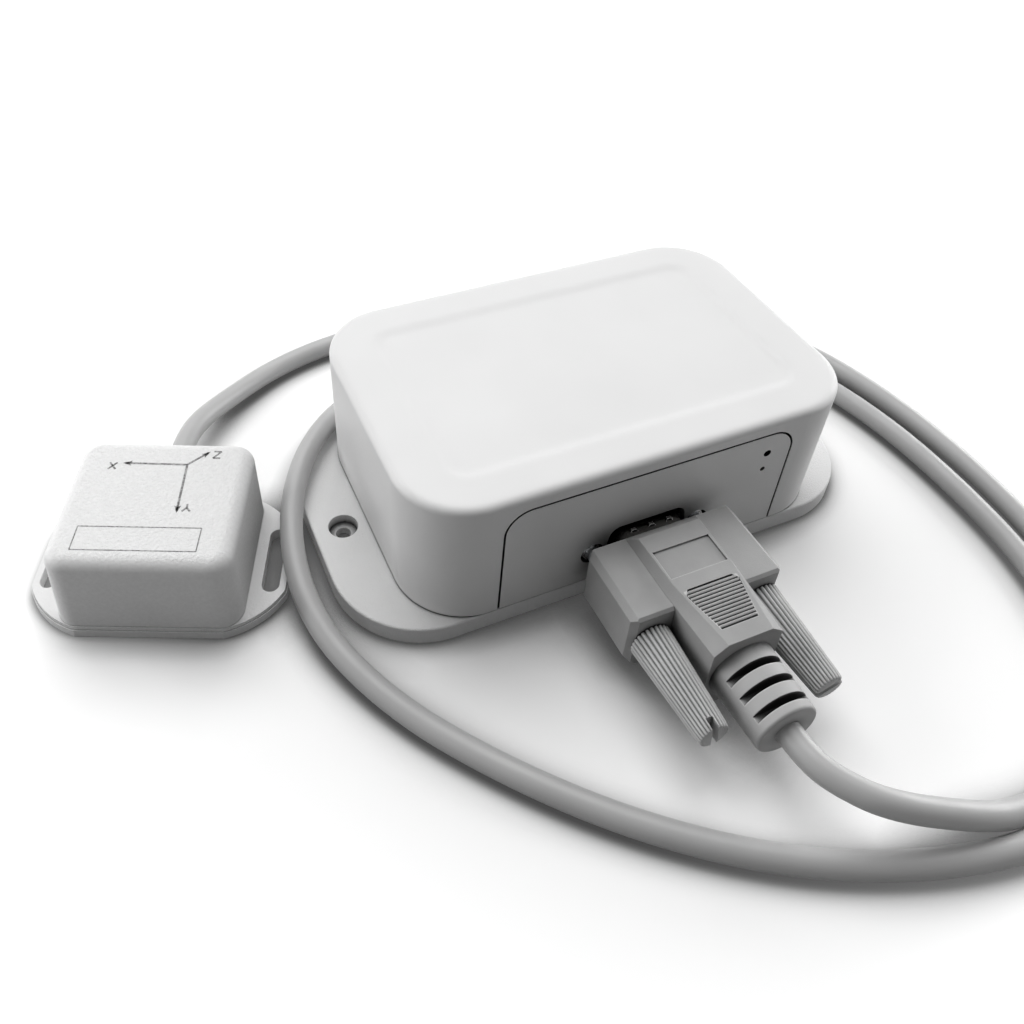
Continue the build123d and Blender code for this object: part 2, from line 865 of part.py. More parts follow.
def plug_hood():
    hood = hood_ears() + hood_middle()
    upper = hood_marks()
    below = Pos(0, 0, connector_z) * Rot(0, 180, 0) * Pos(0, 0, -connector_z)
    tools = upper + [below * mark for mark in upper]
    plate = Rectangle(flange_plate_width + 2 * seat_gap, flange_plate_height + 2 * seat_gap)
    tools.append(forward(plate, plug_face_y, flange_plate_thickness + seat_gap, z=connector_z))
    well = Rectangle(plug_block_width + 2 * seat_gap, plug_block_height + 2 * seat_gap)
    tools.append(forward(well, plug_face_y, plug_face_y - hood_well_end_y, z=connector_z))
    for side in (-1, 1):
        tools.append(bar(ear_bore_radius, plug_face_y, ear_depth, side * screw_spacing / 2, connector_z))
    tools.append(bar(lead_radius, plug_face_y, hood_depth, z=connector_z))
    return cut_by(hood, tools)


def strain_relief():
    """Round boot with cross slots above and below, so that it bends with the lead."""
    root = facing(hood_front_y, z=connector_z) * Circle(boot_root_radius)
    end = facing(boot_end_y, z=connector_z) * Circle(boot_end_radius)
    boot = loft([root, end])
    boot = fillet(boot.edges().group_by(Axis.Y)[0], boot_edge_radius)
    tools = [bar(lead_radius, hood_front_y, boot_length, z=connector_z)]
    height = 2 * boot_root_radius
    for index in range(boot_slots):
        y = hood_front_y - boot_slot_start - index * boot_slot_pitch
        for side in (-1, 1):
            z = connector_z + side * (boot_spine + height / 2)
            tools.append(Pos(0, y, z) * Box(3 * boot_root_radius, boot_slot_width, height))
    return cut_by(boot, tools)


def fluted(radius):
    """Outline of a fluted grip: a flat ridge and a sunk groove for each flute."""
    points = []
    sunk = radius - flute_sink
    corners = ((ridge_start_share, radius), (ridge_end_share, radius),
               (groove_start_share, sunk), (groove_end_share, sunk))
    for index in range(knob_flutes):
        for share, reach in corners:
            angle = math.radians((index + share) * 360 / knob_flutes)
            points.append((reach * math.cos(angle), reach * math.sin(angle)))
    return make_face(Polyline(*points, close=True))


def thumb_knob(side):
    x = side * screw_spacing / 2
    root = facing(knob_root_y, x, connector_z) * fluted(knob_root_radius)
    tip = facing(knob_tip_y, x, connector_z) * fluted(knob_tip_radius)
    knob = loft([root, tip], ruled=True)
    slot = Pos(x, knob_tip_y, connector_z) * Box(knob_slot_width, 2 * knob_slot_sink, 3 * knob_tip_radius)
    return cut_by(knob, [slot, bar(thread_radius, knob_root_y, stem_in_knob, x, connector_z)])


def thumb_stem(side):
    back = front_y + nut_recess + stem_in_nut
    length = back - knob_root_y + stem_in_knob
    stem = bar(thread_radius, back, length, side * screw_spacing / 2, connector_z)
    return chamfer(stem.edges().group_by(Axis.Y)[-1], thread_radius / 3)


def plug_lead_tail():
    """The end of the lead inside the strain relief and the hood."""
    return bar(lead_radius, hood_well_end_y, hood_well_end_y - boot_end_y, z=connector_z)


def core(start, end):
    """Straight insulated core between two points, with both ends square to the Y axis."""
    rounds = [facing(y, x, z) * Circle(core_radius) for x, y, z in (start, end)]
    return loft(rounds, ruled=True)


def core_start(degrees, x, y, z):
    """Where a core leaves the cut end of the lead, at an angle round its middle."""
    angle = math.radians(degrees)
    return (x + core_ring_radius * math.cos(angle), y, z + core_ring_radius * math.sin(angle))


def plug_cores():
    """Four cores from the lead's end to the solder cups."""
    cores = []
    used_contacts = {1: 135, 2: 45, 5: 225, 7: 315}
    for index, degrees in used_contacts.items():
        x, z = contact_places()[index]
        cores.append(core(core_start(degrees, 0, hood_well_end_y, connector_z), (x, pin_tail_y, z)))
    return cores


# Lead

def lead_radii(route):
    """Arc radius at each inner point of the route: as large as its two runs allow."""
    radii = []
    for before, here, after in zip(route, route[1:], route[2:]):
        first = Vector(*here) - Vector(*before)
        second = Vector(*after) - Vector(*here)
        turn = math.radians(first.get_angle(second))
        radii.append(arc_share * min(first.length, second.length) / math.tan(turn / 2))
    return radii


def sensor_lead():
    mouth = pod_location() * Pos(gland_x, pod_depth / 2 + gland_collar, gland_z)
    route = [(0, boot_end_y, connector_z)] + lead_route + [tuple(mouth.position)]
    radii = lead_radii(route)
    print("lead arc radii:", [round(radius, 1) for radius in radii])
    path = FilletPolyline(*route, radius=radii)
    start = Plane(origin=path @ 0, z_dir=path % 0)
    lead = sweep(start * Circle(lead_radius), path=path)
    expected = path.length * math.pi * lead_radius ** 2
    print("lead length:", round(path.length, 1), "volume share:", round(lead.volume / expected, 5))
    return lead


# Pod

def pod_location():
    return Pos(pod_x, pod_y, 0) * Rot(0, 0, pod_turn)


def pod_place(shape):
    """Moves a piece made about the pod's own middle to where the pod lies."""
    return pod_location() * shape


def pod_slot(depth, z):
    """Both fixing slots of the pod's flange, as tools."""
    face = Rot(0, 0, 90) * SlotOverall(pod_slot_length, pod_slot_width)
    return [Pos(side * pod_slot_spacing / 2, 0, z) * extrude(face, depth) for side in (-1, 1)]


def pod_flange(margin, z, height):
    """Flange plate with straight sides and round ends that are cut off flat, drawn in by a margin."""
    radius = pod_flange_end_radius - margin
    ends = [Pos(side * pod_flange_end_x, 0) * Circle(radius) for side in (-1, 1)]
    outline = ends[0] + ends[1] + Rectangle(2 * pod_flange_end_x, 2 * radius)
    outline = outline & Rectangle(pod_flange_length - 2 * margin, pod_flange_depth - 2 * margin)
    return Pos(0, 0, z) * extrude(outline, height)


def pod_base():
    step_z = pod_base_thickness - pod_base_step
    plate = pod_flange(0, 0, step_z) + pod_flange(pod_base_step_in, step_z, pod_base_step)
    posts = [post(pod_post_radius, pod_board_lift - pod_base_thickness, side * pod_post_spacing / 2, 0,
                  pod_base_thickness) for side in (-1, 1)]
    plate = joined([plate] + posts)
    tools = pod_slot(pod_base_thickness, 0)
    for x, y in four(pod_boss_spacing_x, pod_boss_spacing_y):
        tools.append(post(pod_screw_radius + seat_gap, pod_base_thickness, x, y))
        tools.append(post(pod_screw_head_radius + seat_gap, pod_screw_head + seat_gap, x, y))
    return pod_place(cut_by(plate, tools))


def pod_cover():
    foot = Pos(0, 0, pod_base_thickness) * RectangleRounded(pod_length, pod_depth, pod_corner_radius)
    head = Pos(0, 0, pod_height) * RectangleRounded(
        pod_length * pod_top_share, pod_depth * pod_top_share, pod_corner_radius)
    outer = loft([foot, head], ruled=True)
    outer = fillet(outer.edges().group_by(Axis.Z)[-1], pod_edge_radius)
    hollow_top = pod_height - pod_wall - pod_base_thickness
    inner = slab(pod_length - 2 * pod_wall, pod_depth - 2 * pod_wall, pod_corner_radius - pod_wall,
                 hollow_top, pod_base_thickness)
    inner = fillet(inner.edges().group_by(Axis.Z)[-1], pod_edge_radius - pod_wall)
    bosses = [post(pod_boss_radius, hollow_top, x, y, pod_base_thickness)
              for x, y in four(pod_boss_spacing_x, pod_boss_spacing_y)]
    cover = joined([outer - inner] + bosses)
    bite = pod_screw_length - pod_base_thickness + overrun
    tools = [post(pod_screw_radius, bite, x, y, pod_base_thickness)
             for x, y in four(pod_boss_spacing_x, pod_boss_spacing_y)]
    tools.append(bar(gland_neck_radius, pod_depth, pod_depth / 2 + pod_wall * 2, gland_x, gland_z))
    return pod_place(cut_by(cover, tools))


def pod_gland():
    """Rubber grommet in the pod's rear wall, with a collar on each side of it."""
    wall_y = pod_depth / 2
    inner_y = wall_y - pod_wall
    outer_end = wall_y + gland_collar
    collar = bar(gland_collar_radius, outer_end, gland_collar, gland_x, gland_z)
    neck = bar(gland_neck_radius, outer_end, outer_end - inner_y, gland_x, gland_z)
    inside = bar(gland_collar_radius, inner_y, gland_inner_collar, gland_x, gland_z)
    bore = bar(lead_radius, outer_end, outer_end - inner_y + gland_inner_collar, gland_x, gland_z)
    return pod_place(collar + neck + inside - bore)


def lead_tail_end():
    """How deep the lead reaches into the pod, in the pod's own Y."""
    return pod_depth / 2 - pod_wall - gland_inner_collar - lead_tail_in_pod


def pod_lead_tail():
    outer_end = pod_depth / 2 + gland_collar
    return pod_place(bar(lead_radius, outer_end, outer_end - lead_tail_end(), gland_x, gland_z))


def lead_tie():
    """Nylon tie that keeps the lead from pulling out of the pod."""
    y = lead_tail_end() + lead_tail_in_pod / 2 + tie_width / 2
    ring = bar(lead_radius + tie_thickness, y, tie_width, gland_x, gland_z)
    return pod_place(ring - bar(lead_radius, y, tie_width, gland_x, gland_z))


pod_board_top = pod_board_lift + pod_board_thickness
terminal_top_z = pod_board_top + terminal_height


def pod_board():
    board = block(pod_board_length, pod_board_depth, pod_board_thickness, z=pod_board_lift)
    return pod_place(board)


def accelerometer():
    chip = block(sensor_side, sensor_side, sensor_height, z=pod_board_top)
    return pod_place(chamfer(chip.edges().group_by(Axis.Z)[-1], sensor_height / 6))


def pod_chips():
    chips = []
    for side in (-1, 1):
        chip = block(pod_chip_length, pod_chip_length, pod_chip_height, side * pod_chip_pitch,
                     z=pod_board_top)
        chips.append(pod_place(chip))
    return chips


def pod_terminal():
    return pod_place(block(terminal_width, terminal_depth, terminal_height, y=-terminal_y, z=pod_board_top))


def pod_cores():
    """Four cores from the lead's end to the terminal block on the pod's board."""
    cores = []
    pitch = terminal_width / 4
    clamp_order = {45: 3 / 2, 135: -1 / 2, 225: -3 / 2, 315: 1 / 2}
    for degrees, step in clamp_order.items():
        start = core_start(degrees, gland_x, lead_tail_end(), gland_z)
        end = (step * pitch, terminal_depth / 2 - terminal_y, terminal_top_z - core_radius * 2)
        cores.append(pod_place(core(start, end)))
    return cores


def pod_screws():
    screws = []
    for x, y in four(pod_boss_spacing_x, pod_boss_spacing_y):
        screw = screw_from_below(pod_screw_radius - seat_gap / 2, pod_screw_length, pod_screw_head_radius,
                                 pod_screw_head, x, y)
        screws.append(pod_place(screw))
    return screws


nodes = {
    "base_plate": base_plate,
    "base_seal": base_seal,
    "top_cover": top_cover,
    "front_panel": front_panel,
    "cover_screws": cover_screws,
    "circuit_board": circuit_board,
    "board_screws": board_screws,
    "socket_shell": socket_shell,
    "socket_insulator": socket_insulator,
    "socket_contacts": socket_contacts,
    "jack_nuts": jack_nuts,
    "battery_holder": battery_holder,
    "battery_cells": battery_cells,
    "battery_contacts": battery_contacts,
    "radio_module": radio_module,
    "antenna": antenna,
    "processor": processor,
    "line_driver": line_driver,
    "capacitors": capacitors,
    "indicator_board": indicator_board,
    "indicator_header": indicator_header,
    "status_light": status_light,
    "light_pipe": light_pipe,
    "reset_switch": reset_switch,
    "reset_button": reset_button,
    "plug_shell": plug_shell,
    "plug_insulator": plug_insulator,
    "plug_pins": plug_pins,
    "plug_cores": plug_cores,
    "plug_lead_tail": plug_lead_tail,
    "plug_hood": plug_hood,
    "strain_relief": strain_relief,
    "thumb_knob_left": lambda: thumb_knob(-1),
    "thumb_knob_right": lambda: thumb_knob(1),
    "thumb_stem_left": lambda: thumb_stem(-1),
    "thumb_stem_right": lambda: thumb_stem(1),
    "sensor_lead": sensor_lead,
    "pod_base": pod_base,
    "pod_cover": pod_cover,
    "pod_gland": pod_gland,
    "pod_lead_tail": pod_lead_tail,
    "pod_lead_tie": lead_tie,
    "pod_board": pod_board,
    "pod_accelerometer": accelerometer,
    "pod_chips": pod_chips,
    "pod_terminal": pod_terminal,
    "pod_cores": pod_cores,
    "pod_screws": pod_screws,
}

os.makedirs("parts", exist_ok=True)
for name, make in nodes.items():
    shape = make()
    if isinstance(shape, list):
        shape = Compound(children=[piece for one in shape for piece in one.solids()])
    export_step(shape, f"parts/{name}.step")
    print(name, len(shape.solids()))
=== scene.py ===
# %% [markdown]
# # A vibration sensor dressed for its photograph
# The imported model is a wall-mounted battery box, a screwed-on data lead and a small sensing pod. This lesson
# loads it, sets the photograph's camera, gives each piece its material, dresses the plug, lays the lead and
# lights the scene. Each step says what it does before its code, and each cell prints what it made.
#
# The model comes from CAD, so its main shapes and sizes are right already. They could be modelled again here,
# but then the looks and the solids would drift apart. So the solids stay, and a piece is replaced only where
# the real one has a form that is too fine to keep in the solids, such as flutes and ribs.

# %% Load the frame
import math

import bpy
import bmesh
from mathutils import Matrix, Vector


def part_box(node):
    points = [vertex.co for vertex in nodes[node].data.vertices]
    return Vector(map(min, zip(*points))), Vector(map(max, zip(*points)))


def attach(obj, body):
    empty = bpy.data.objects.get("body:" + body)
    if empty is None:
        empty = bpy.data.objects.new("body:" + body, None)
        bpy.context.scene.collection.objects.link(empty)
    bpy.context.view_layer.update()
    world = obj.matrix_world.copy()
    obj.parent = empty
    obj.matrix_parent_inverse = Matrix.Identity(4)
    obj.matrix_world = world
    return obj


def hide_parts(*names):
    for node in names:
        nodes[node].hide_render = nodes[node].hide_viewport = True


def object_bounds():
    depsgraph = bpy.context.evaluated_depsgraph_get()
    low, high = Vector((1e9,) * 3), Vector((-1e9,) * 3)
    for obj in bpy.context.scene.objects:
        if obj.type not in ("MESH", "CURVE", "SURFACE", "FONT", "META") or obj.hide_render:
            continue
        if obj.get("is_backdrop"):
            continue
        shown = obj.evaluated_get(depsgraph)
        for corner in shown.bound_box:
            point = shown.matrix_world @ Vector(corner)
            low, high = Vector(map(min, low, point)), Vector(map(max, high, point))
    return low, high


MM = 0.001
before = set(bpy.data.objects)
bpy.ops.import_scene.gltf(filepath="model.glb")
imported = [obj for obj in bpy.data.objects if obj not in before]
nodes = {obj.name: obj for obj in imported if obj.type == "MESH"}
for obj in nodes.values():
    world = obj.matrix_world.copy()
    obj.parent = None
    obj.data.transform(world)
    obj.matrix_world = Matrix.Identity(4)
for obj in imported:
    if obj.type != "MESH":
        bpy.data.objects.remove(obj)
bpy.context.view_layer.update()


# %% [markdown]
# ## The camera
# The photograph was taken from the front and a little to the left, about 24 cm away. A camera could be placed
# by eye, but then no edge would fall where it does in the photograph. So the place, the turn and the lens were
# solved from straight edges and from the known spacing of the plug's two screws, and the three directions of
# the camera are typed in as a matrix. The photograph is a crop, so the lens looks past the middle of the
# frame, and a small shift says by how much.

# %% Camera
CAMERA_PLACE = Vector((-94.213, -139.270, 172.081)) * MM
camera = bpy.data.objects.new("camera", bpy.data.cameras.new("camera"))
bpy.context.scene.collection.objects.link(camera)
camera_right = Vector((0.920282, -0.390274, 0.027686))
camera_up = Vector((0.225621, 0.587171, 0.777384))
camera_back = Vector((-0.319650, -0.709166, 0.628417))
turn = Matrix((camera_right, camera_up, camera_back)).transposed().to_4x4()
camera.matrix_world = Matrix.Translation(CAMERA_PLACE) @ turn
camera.data.sensor_width = 36.0
camera.data.lens = 34.763
camera.data.shift_x = 0.06071
camera.data.shift_y = -0.16388
camera.data.clip_start = 0.005
camera.data.clip_end = 20.0
bpy.context.scene.camera = camera
bpy.context.scene.view_settings.view_transform = "Standard"
print("camera stands", round(CAMERA_PLACE.length / MM), "mm from the origin")


# %% [markdown]
# ## Two small helpers
# Colours are written the way a paint program shows them, and one function turns them into the linear values
# that shaders use. Another function adds a node, fills in its inputs and sets its options. Nodes could be added
# with three lines each, but one call for each node keeps a material readable from top to bottom.

# %% Colours and nodes
def srgb(text):
    """A colour such as 8C8C8C as linear red, green, blue and alpha."""
    parts = [int(text[i:i + 2], 16) / 255 for i in (0, 2, 4)]
    return [v / 12.92 if v <= 0.04045 else ((v + 0.055) / 1.055) ** 2.4 for v in parts] + [1.0]


def add(tree, kind, inputs=None, **settings):
    """Adds a node. A value that is a socket is linked, and anything else is typed in."""
    node = tree.nodes.new(kind)
    for name, value in settings.items():
        setattr(node, name, value)
    for name, value in (inputs or {}).items():
        if isinstance(value, bpy.types.NodeSocket):
            tree.links.new(value, node.inputs[name])
        else:
            node.inputs[name].default_value = value
    return node


print("mid grey 808080 is", round(srgb("808080")[0], 3), "in linear light")


# %% [markdown]
# ## What plastic looks like
# Nearly everything on this object is moulded plastic. A plain grey shader could stand for it, but it would look
# like a drawing. A real moulding has four things at once: a slow change of tone, a fine grain that the mould's
# etched wall left, edges that are slightly round, and inner corners in which light is lost. That lost light is
# painted in as shade, and some edges get a painted highlight. The next cells make these one at a time, and then
# one function puts them together, so a finish is one line of sizes.
#
# Every material reads the piece's own coordinates, which are metres, and turns them into millimetres first.
# So a grain of 0.4 is a grain of 0.4 mm wherever it is used. It could read the size of each piece instead,
# but then the grain would be coarser on the box than on the pod.

# %% A material and its noise
def start(name):
    """A new material: its tree, its shader and its coordinates in millimetres."""
    material = bpy.data.materials.new(name)
    material.use_nodes = True
    tree = material.node_tree
    shader = tree.nodes["Principled BSDF"]
    place = add(tree, "ShaderNodeTexCoord").outputs["Object"]
    scale = add(tree, "ShaderNodeVectorMath", {0: place, 1: (1000.0, 1000.0, 1000.0)}, operation="MULTIPLY")
    return material, tree, shader, scale.outputs["Vector"]


def noise(tree, place, size, detail=2.0, roughness=0.5):
    """Noise whose features are about this many millimetres across."""
    node = add(tree, "ShaderNodeTexNoise", {"Vector": place, "Scale": 1.0 / size, "Detail": detail,
                                            "Roughness": roughness})
    return node.outputs["Fac"]


def spread(tree, value, low, high):
    """Stretches a noise value's middle range to run from low to high."""
    node = add(tree, "ShaderNodeMapRange", {"Value": value, "From Min": 0.3, "From Max": 0.7,
                                            "To Min": low, "To Max": high})
    return node.outputs["Result"]


def two_tones(tree, share, first, second):
    """A mix of two colours. The colour sockets of this node are reached by number."""
    node = add(tree, "ShaderNodeMix", {"Factor": share, 6: first, 7: second}, data_type="RGBA")
    return node.outputs[2]


print("patterns are in millimetres")


# %% [markdown]
# ## Grain and round edges
# The grain goes into the relief and not into the mesh, because its bumps are a few hundredths of a millimetre
# high. The edges are rounded with a Bevel node, which turns the light on a sharp edge and leaves the mesh
# alone. Cutting a bevel into the mesh would round the outline too, but CAD triangles are long and thin and
# tear when they are bevelled. Two more functions say where: the box's upper rim is rounder than its other
# edges, and the pod's grain is strong on its level top and weak on its steep sides.

# %% Relief
def relief(tree, height, depth, strength=1.0, edge=0.0):
    """Turns a height between 0 and 1 into a bump of this depth in millimetres, over slightly round edges."""
    inputs = {"Height": height, "Distance": depth * MM, "Strength": strength}
    if edge:
        radius = edge if isinstance(edge, bpy.types.NodeSocket) else edge * MM
        inputs["Normal"] = add(tree, "ShaderNodeBevel", {"Radius": radius}, samples=6).outputs["Normal"]
    return add(tree, "ShaderNodeBump", inputs).outputs["Normal"]


def above(tree, height, low, high):
    """A value in metres that goes from one size in millimetres to another above this height."""
    place = add(tree, "ShaderNodeTexCoord").outputs["Object"]
    z = add(tree, "ShaderNodeSeparateXYZ", {"Vector": place}).outputs["Z"]
    node = add(tree, "ShaderNodeMapRange", {"Value": z, "From Min": height * MM, "From Max": (height + 0.4) * MM,
                                            "To Min": low * MM, "To Max": high * MM})
    return node.outputs["Result"]


def facing_up(tree, low, high):
    """A share that goes from low on steep and rounded faces to high on level ones."""
    normal = add(tree, "ShaderNodeNewGeometry").outputs["Normal"]
    z = add(tree, "ShaderNodeSeparateXYZ", {"Vector": normal}).outputs["Z"]
    node = add(tree, "ShaderNodeMapRange", {"Value": z, "From Min": 0.75, "From Max": 0.98,
                                            "To Min": low, "To Max": high})
    return node.outputs["Result"]


print("relief follows rounded edges")


# %% [markdown]
# ## Painted shade in corners and painted highlights on edges
# In the photograph every gap is nearly black, and some outer edges carry a thin pale line. Both could be painted
# by hand, piece by piece. The Ambient Occlusion node finds them by itself: it says how much of the sky a point
# sees within a few millimetres, and turned inwards it says how thin the edge is.

# %% Corners and edges
# The first function paints shade into gaps and inner corners; the second paints a highlight along thin outer
# edges.
def painted_shade_in_corners(tree, colour, deep, reach, closed=0.25, alone=False, samples=8):
    """The colour, going over to a darker one in gaps and inner corners up to this many millimetres wide: painted
    shade.
    """
    open_share = add(tree, "ShaderNodeAmbientOcclusion", {"Distance": reach * MM}, samples=samples,
                     only_local=alone).outputs["AO"]
    share = add(tree, "ShaderNodeMapRange", {"Value": open_share, "From Min": closed, "From Max": closed + 0.5})
    return two_tones(tree, share.outputs["Result"], srgb(deep), colour)


def painted_highlight_on_edges(tree, colour, bright, reach, samples=6):
    """The colour, going over to a lighter one on outward edges up to this many millimetres wide: a painted
    highlight.
    """
    inner = add(tree, "ShaderNodeAmbientOcclusion", {"Distance": reach * MM}, samples=samples, inside=True)
    share = add(tree, "ShaderNodeMapRange", {"Value": inner.outputs["AO"], "From Min": 0.50, "From Max": 0.85})
    return two_tones(tree, share.outputs["Result"], srgb(bright), colour)


print("gaps go deeper and edges go lighter")


# %% [markdown]
# ## One function for moulded plastic
# Now the four things come together. Two close tones are mixed by a slow noise, the painted shade of the corners
# and the painted highlights of the edges go over them, and a second noise makes the grain. The gloss wanders a
# little too, as it does where a mould is worn.

# %% Moulded plastic
PAINTED_HIGHLIGHT_WIDTH = 0.30
GLOSS_SWING = 0.05
SOFT_RIM = 2.6


def plastic(name, light, dark, grain, depth, rough, edge=0.25, specular=0.4, patch=14.0, deep=None, reach=1.4,
            closed=0.25, alone=False, soft_above=None, sides=1.0, rim=None, painted_shade_around=None):
    """Moulded plastic or rubber: two close tones, a fine grain, softened edges and painted shade in inner corners.

    With alone, only the piece's own hollows get painted shade, and not what lies next to another piece.
    """
    material, tree, shader, place = start(name)
    tone = spread(tree, noise(tree, place, patch, 3.0), 0.0, 1.0)
    colour = two_tones(tree, tone, srgb(dark), srgb(light))
    # A painted highlight along thin outer edges.
    if rim:
        colour = painted_highlight_on_edges(tree, colour, rim, PAINTED_HIGHLIGHT_WIDTH)
    # Painted shade in gaps and inner corners.
    if deep:
        colour = painted_shade_in_corners(tree, colour, deep, reach, closed, alone)
    # A second, narrower painted shade in the piece's own hollows.
    if alone:
        colour = painted_shade_in_corners(tree, colour, deep, 0.7, 0.3)
    # A painted shade where other pieces stand close round it.
    if painted_shade_around:
        colour = painted_shade_in_corners(tree, colour, *painted_shade_around)
    tree.links.new(colour, shader.inputs["Base Color"])
    pores = noise(tree, place, grain, 3.0, 0.6)
    gloss = spread(tree, noise(tree, place, patch / 3, 2.0), rough - GLOSS_SWING, rough + GLOSS_SWING)
    tree.links.new(gloss, shader.inputs["Roughness"])
    strength = 1.0 if sides == 1.0 else facing_up(tree, sides, 1.0)
    rounding = above(tree, soft_above, edge, SOFT_RIM) if soft_above else edge
    tree.links.new(relief(tree, pores, depth, strength, rounding), shader.inputs["Normal"])
    shader.inputs["Specular IOR Level"].default_value = specular
    return material


print("plastic has an edge line of", PAINTED_HIGHLIGHT_WIDTH, "mm and an upper rim of", SOFT_RIM, "mm where it is asked for")


# %% [markdown]
# ## One function for metal
# The metal pieces are plated or drawn, so their tone is even and their scratches run one way. The same noise is
# stretched along X for that. A drawn line could be a wave pattern, but waves repeat, and scratches don't.

# %% Metal
def metal(name, light, dark, rough, scratch=0.15, depth=0.004, edge=0.1, deep=None):
    """Plated or drawn metal with faint scratches along X; with deep, painted shade where it stands in a narrow
    opening and a painted highlight on thin edges.
    """
    material, tree, shader, place = start(name)
    along = add(tree, "ShaderNodeVectorMath", {0: place, 1: (0.08, 1.0, 1.0)}, operation="MULTIPLY")
    lines = noise(tree, along.outputs["Vector"], scratch, 2.0)
    tone = spread(tree, noise(tree, place, 3.0, 3.0), 0.0, 1.0)
    colour = two_tones(tree, tone, srgb(dark), srgb(light))
    if deep:
        # Painted shade in the opening and a painted highlight on thin edges, over the plating's tone.
        colour = painted_highlight_on_edges(tree, painted_shade_in_corners(tree, colour, deep, 4.0, 0.42), "F2F2F2", PAINTED_HIGHLIGHT_WIDTH)
    tree.links.new(colour, shader.inputs["Base Color"])
    tree.links.new(spread(tree, lines, rough - 0.07, rough + 0.07), shader.inputs["Roughness"])
    tree.links.new(relief(tree, lines, depth, 0.6, edge), shader.inputs["Normal"])
    shader.inputs["Metallic"].default_value = 1.0
    return material


print("metal has scratches along X")


# %% [markdown]
# ## The finishes outside
# The photograph is black and white, so the outside is in greys that were read from it.
#
# The box is ABS in two textures. Its cover is nearly smooth, so its broad faces show an even, silky light. Its
# plate has a spark-eroded texture, which breaks the light up and looks drier. The pod has a leather grain about
# 0.55 mm across, which the light turns into small bright and dark scales. That grain is drawn a little coarser
# and deeper than it is, because the real one would vanish between two pixels. Grain, depth, edge, patch and
# reach are in millimetres in every line.

# %% Outside finishes
CASE_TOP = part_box("top_cover")[1][2] / MM
look = {
    # ABS, moulded against a finely blasted wall: broad, silky light and hardly any grain, with painted shade in
    # its gaps.
    "enclosure": plastic("abs_white_matt", "E7E7E7", "E3E3E3", grain=0.35, depth=0.012, rough=0.46, edge=0.12,
                         specular=0.35, patch=30.0, deep="101010", reach=1.3, closed=0.36,
                         soft_above=CASE_TOP - 0.8),
    # ABS, moulded against a spark-eroded wall: dry, with a grain that is nearer 0.1 mm and is drawn at 0.34 mm, so
    # that it still shows. Its own hollows carry painted shade.
    "plate": plastic("abs_white_grained", "EEEEEE", "E6E6E6", grain=0.34, depth=0.140, rough=0.55, edge=0.20,
                     specular=0.3, patch=24.0, deep="2C2C2C", reach=2.6, closed=0.42, alone=True),
    # ABS, moulded flat: a little more sheen than the cover, a painted highlight as a thin pale line round its
    # edges, painted shade in its gap, and a wide painted shade near the plug.
    "panel": plastic("abs_panel_satin", "E2E2E2", "DCDCDC", grain=0.30, depth=0.008, rough=0.42, edge=0.08,
                     specular=0.35, patch=24.0, deep="080808", reach=1.4, closed=0.42, rim="F4F4F4",
                     painted_shade_around=("101010", 14.0, 0.0)),
    # ABS, moulded against an etched leather grain: small scales on the level top, almost none on its steep sides,
    # where the mould could not draw them. Its corners carry painted shade, and the side next to the box is
    # darkened with a wide painted shade.
    "pod": plastic("abs_pod_leather_grain", "F1F1F1", "E9E9E9", grain=0.55, depth=0.260, rough=0.50, edge=0.20,
                   specular=0.35, patch=0.7, deep="3A3A3A", reach=0.8, sides=0.14,
                   painted_shade_around=("4C4C4C", 40.0, 0.02)),
    # The same ABS with a weaker grain, so the flange looks smoother than the lid, and painted shade in its
    # corners.
    "pod_plate": plastic("abs_pod_plate", "ECECEC", "E4E4E4", grain=0.60, depth=0.120, rough=0.52, edge=0.15,
                         specular=0.35, patch=12.0, deep="202020", reach=0.6),
    # Soft PVC, moulded over the plug: dull faces, a painted highlight as a thin pale line on its edges, painted
    # shade in its corners, and a wide painted shade where other pieces stand close.
    "hood": plastic("pvc_hood_spark_grain", "A6A6A6", "9A9A9A", grain=0.24, depth=0.040, rough=0.55, edge=0.25,
                    specular=0.3, patch=9.0, deep="2C2C2C", reach=0.9, rim="C4C4C4",
                    painted_shade_around=("0C0C0C", 14.0, 0.0)),
    # The same PVC in a flexible boot: its slots are deep and carry painted shade that goes nearly black, and its
    # edges carry a painted highlight.
    "boot": plastic("pvc_boot_soft", "B6B6B6", "ACACAC", grain=0.30, depth=0.016, rough=0.58, edge=0.30,
                    specular=0.3, patch=7.0, deep="050505", reach=4.0, closed=0.36, rim="D6D6D6"),
    # Nylon, moulded in a polished tool: waxy and a little lighter than the hood, with painted shade in its flutes
    # and a black painted shade in the slot.
    "knob": plastic("nylon_knob", "C2C2C2", "B6B6B6", grain=0.25, depth=0.008, rough=0.50, edge=0.0,
                    specular=0.35, patch=6.0, deep="1C1C1C", reach=0.9, closed=0.35,
                    painted_shade_around=("080808", 1.5, 0.10)),
    # PVC, extruded: no grain across it, so one long soft streak of light runs along its whole length.
    "lead": plastic("pvc_lead_jacket", "B4B4B4", "ACACAC", grain=0.40, depth=0.006, rough=0.42, edge=0.0,
                    specular=0.50, patch=20.0),
    # Rubber, moulded: no shine, and edges that are round from the start.
    "gland": plastic("rubber_gland", "8E8E8E", "838383", grain=0.30, depth=0.010, rough=0.62, edge=0.2,
                     specular=0.3, patch=4.0),
    # Silicone, cut from a sheet: a pale, dull line under the cover.
    "gasket": plastic("silicone_gasket", "8A8A8A", "808080", grain=0.30, depth=0.010, rough=0.65, edge=0.05,
                      specular=0.3, patch=6.0),
}
print(len(look), "finishes outside; the box's top is at", round(CASE_TOP, 1), "mm")


# %% [markdown]
# ## The finishes inside
# Nobody sees these pieces in the photograph. They could stay grey, but whoever opens the model learns more from
# the colours that such pieces usually have: green boards, black packages, a blue-grey sleeve round the cells.

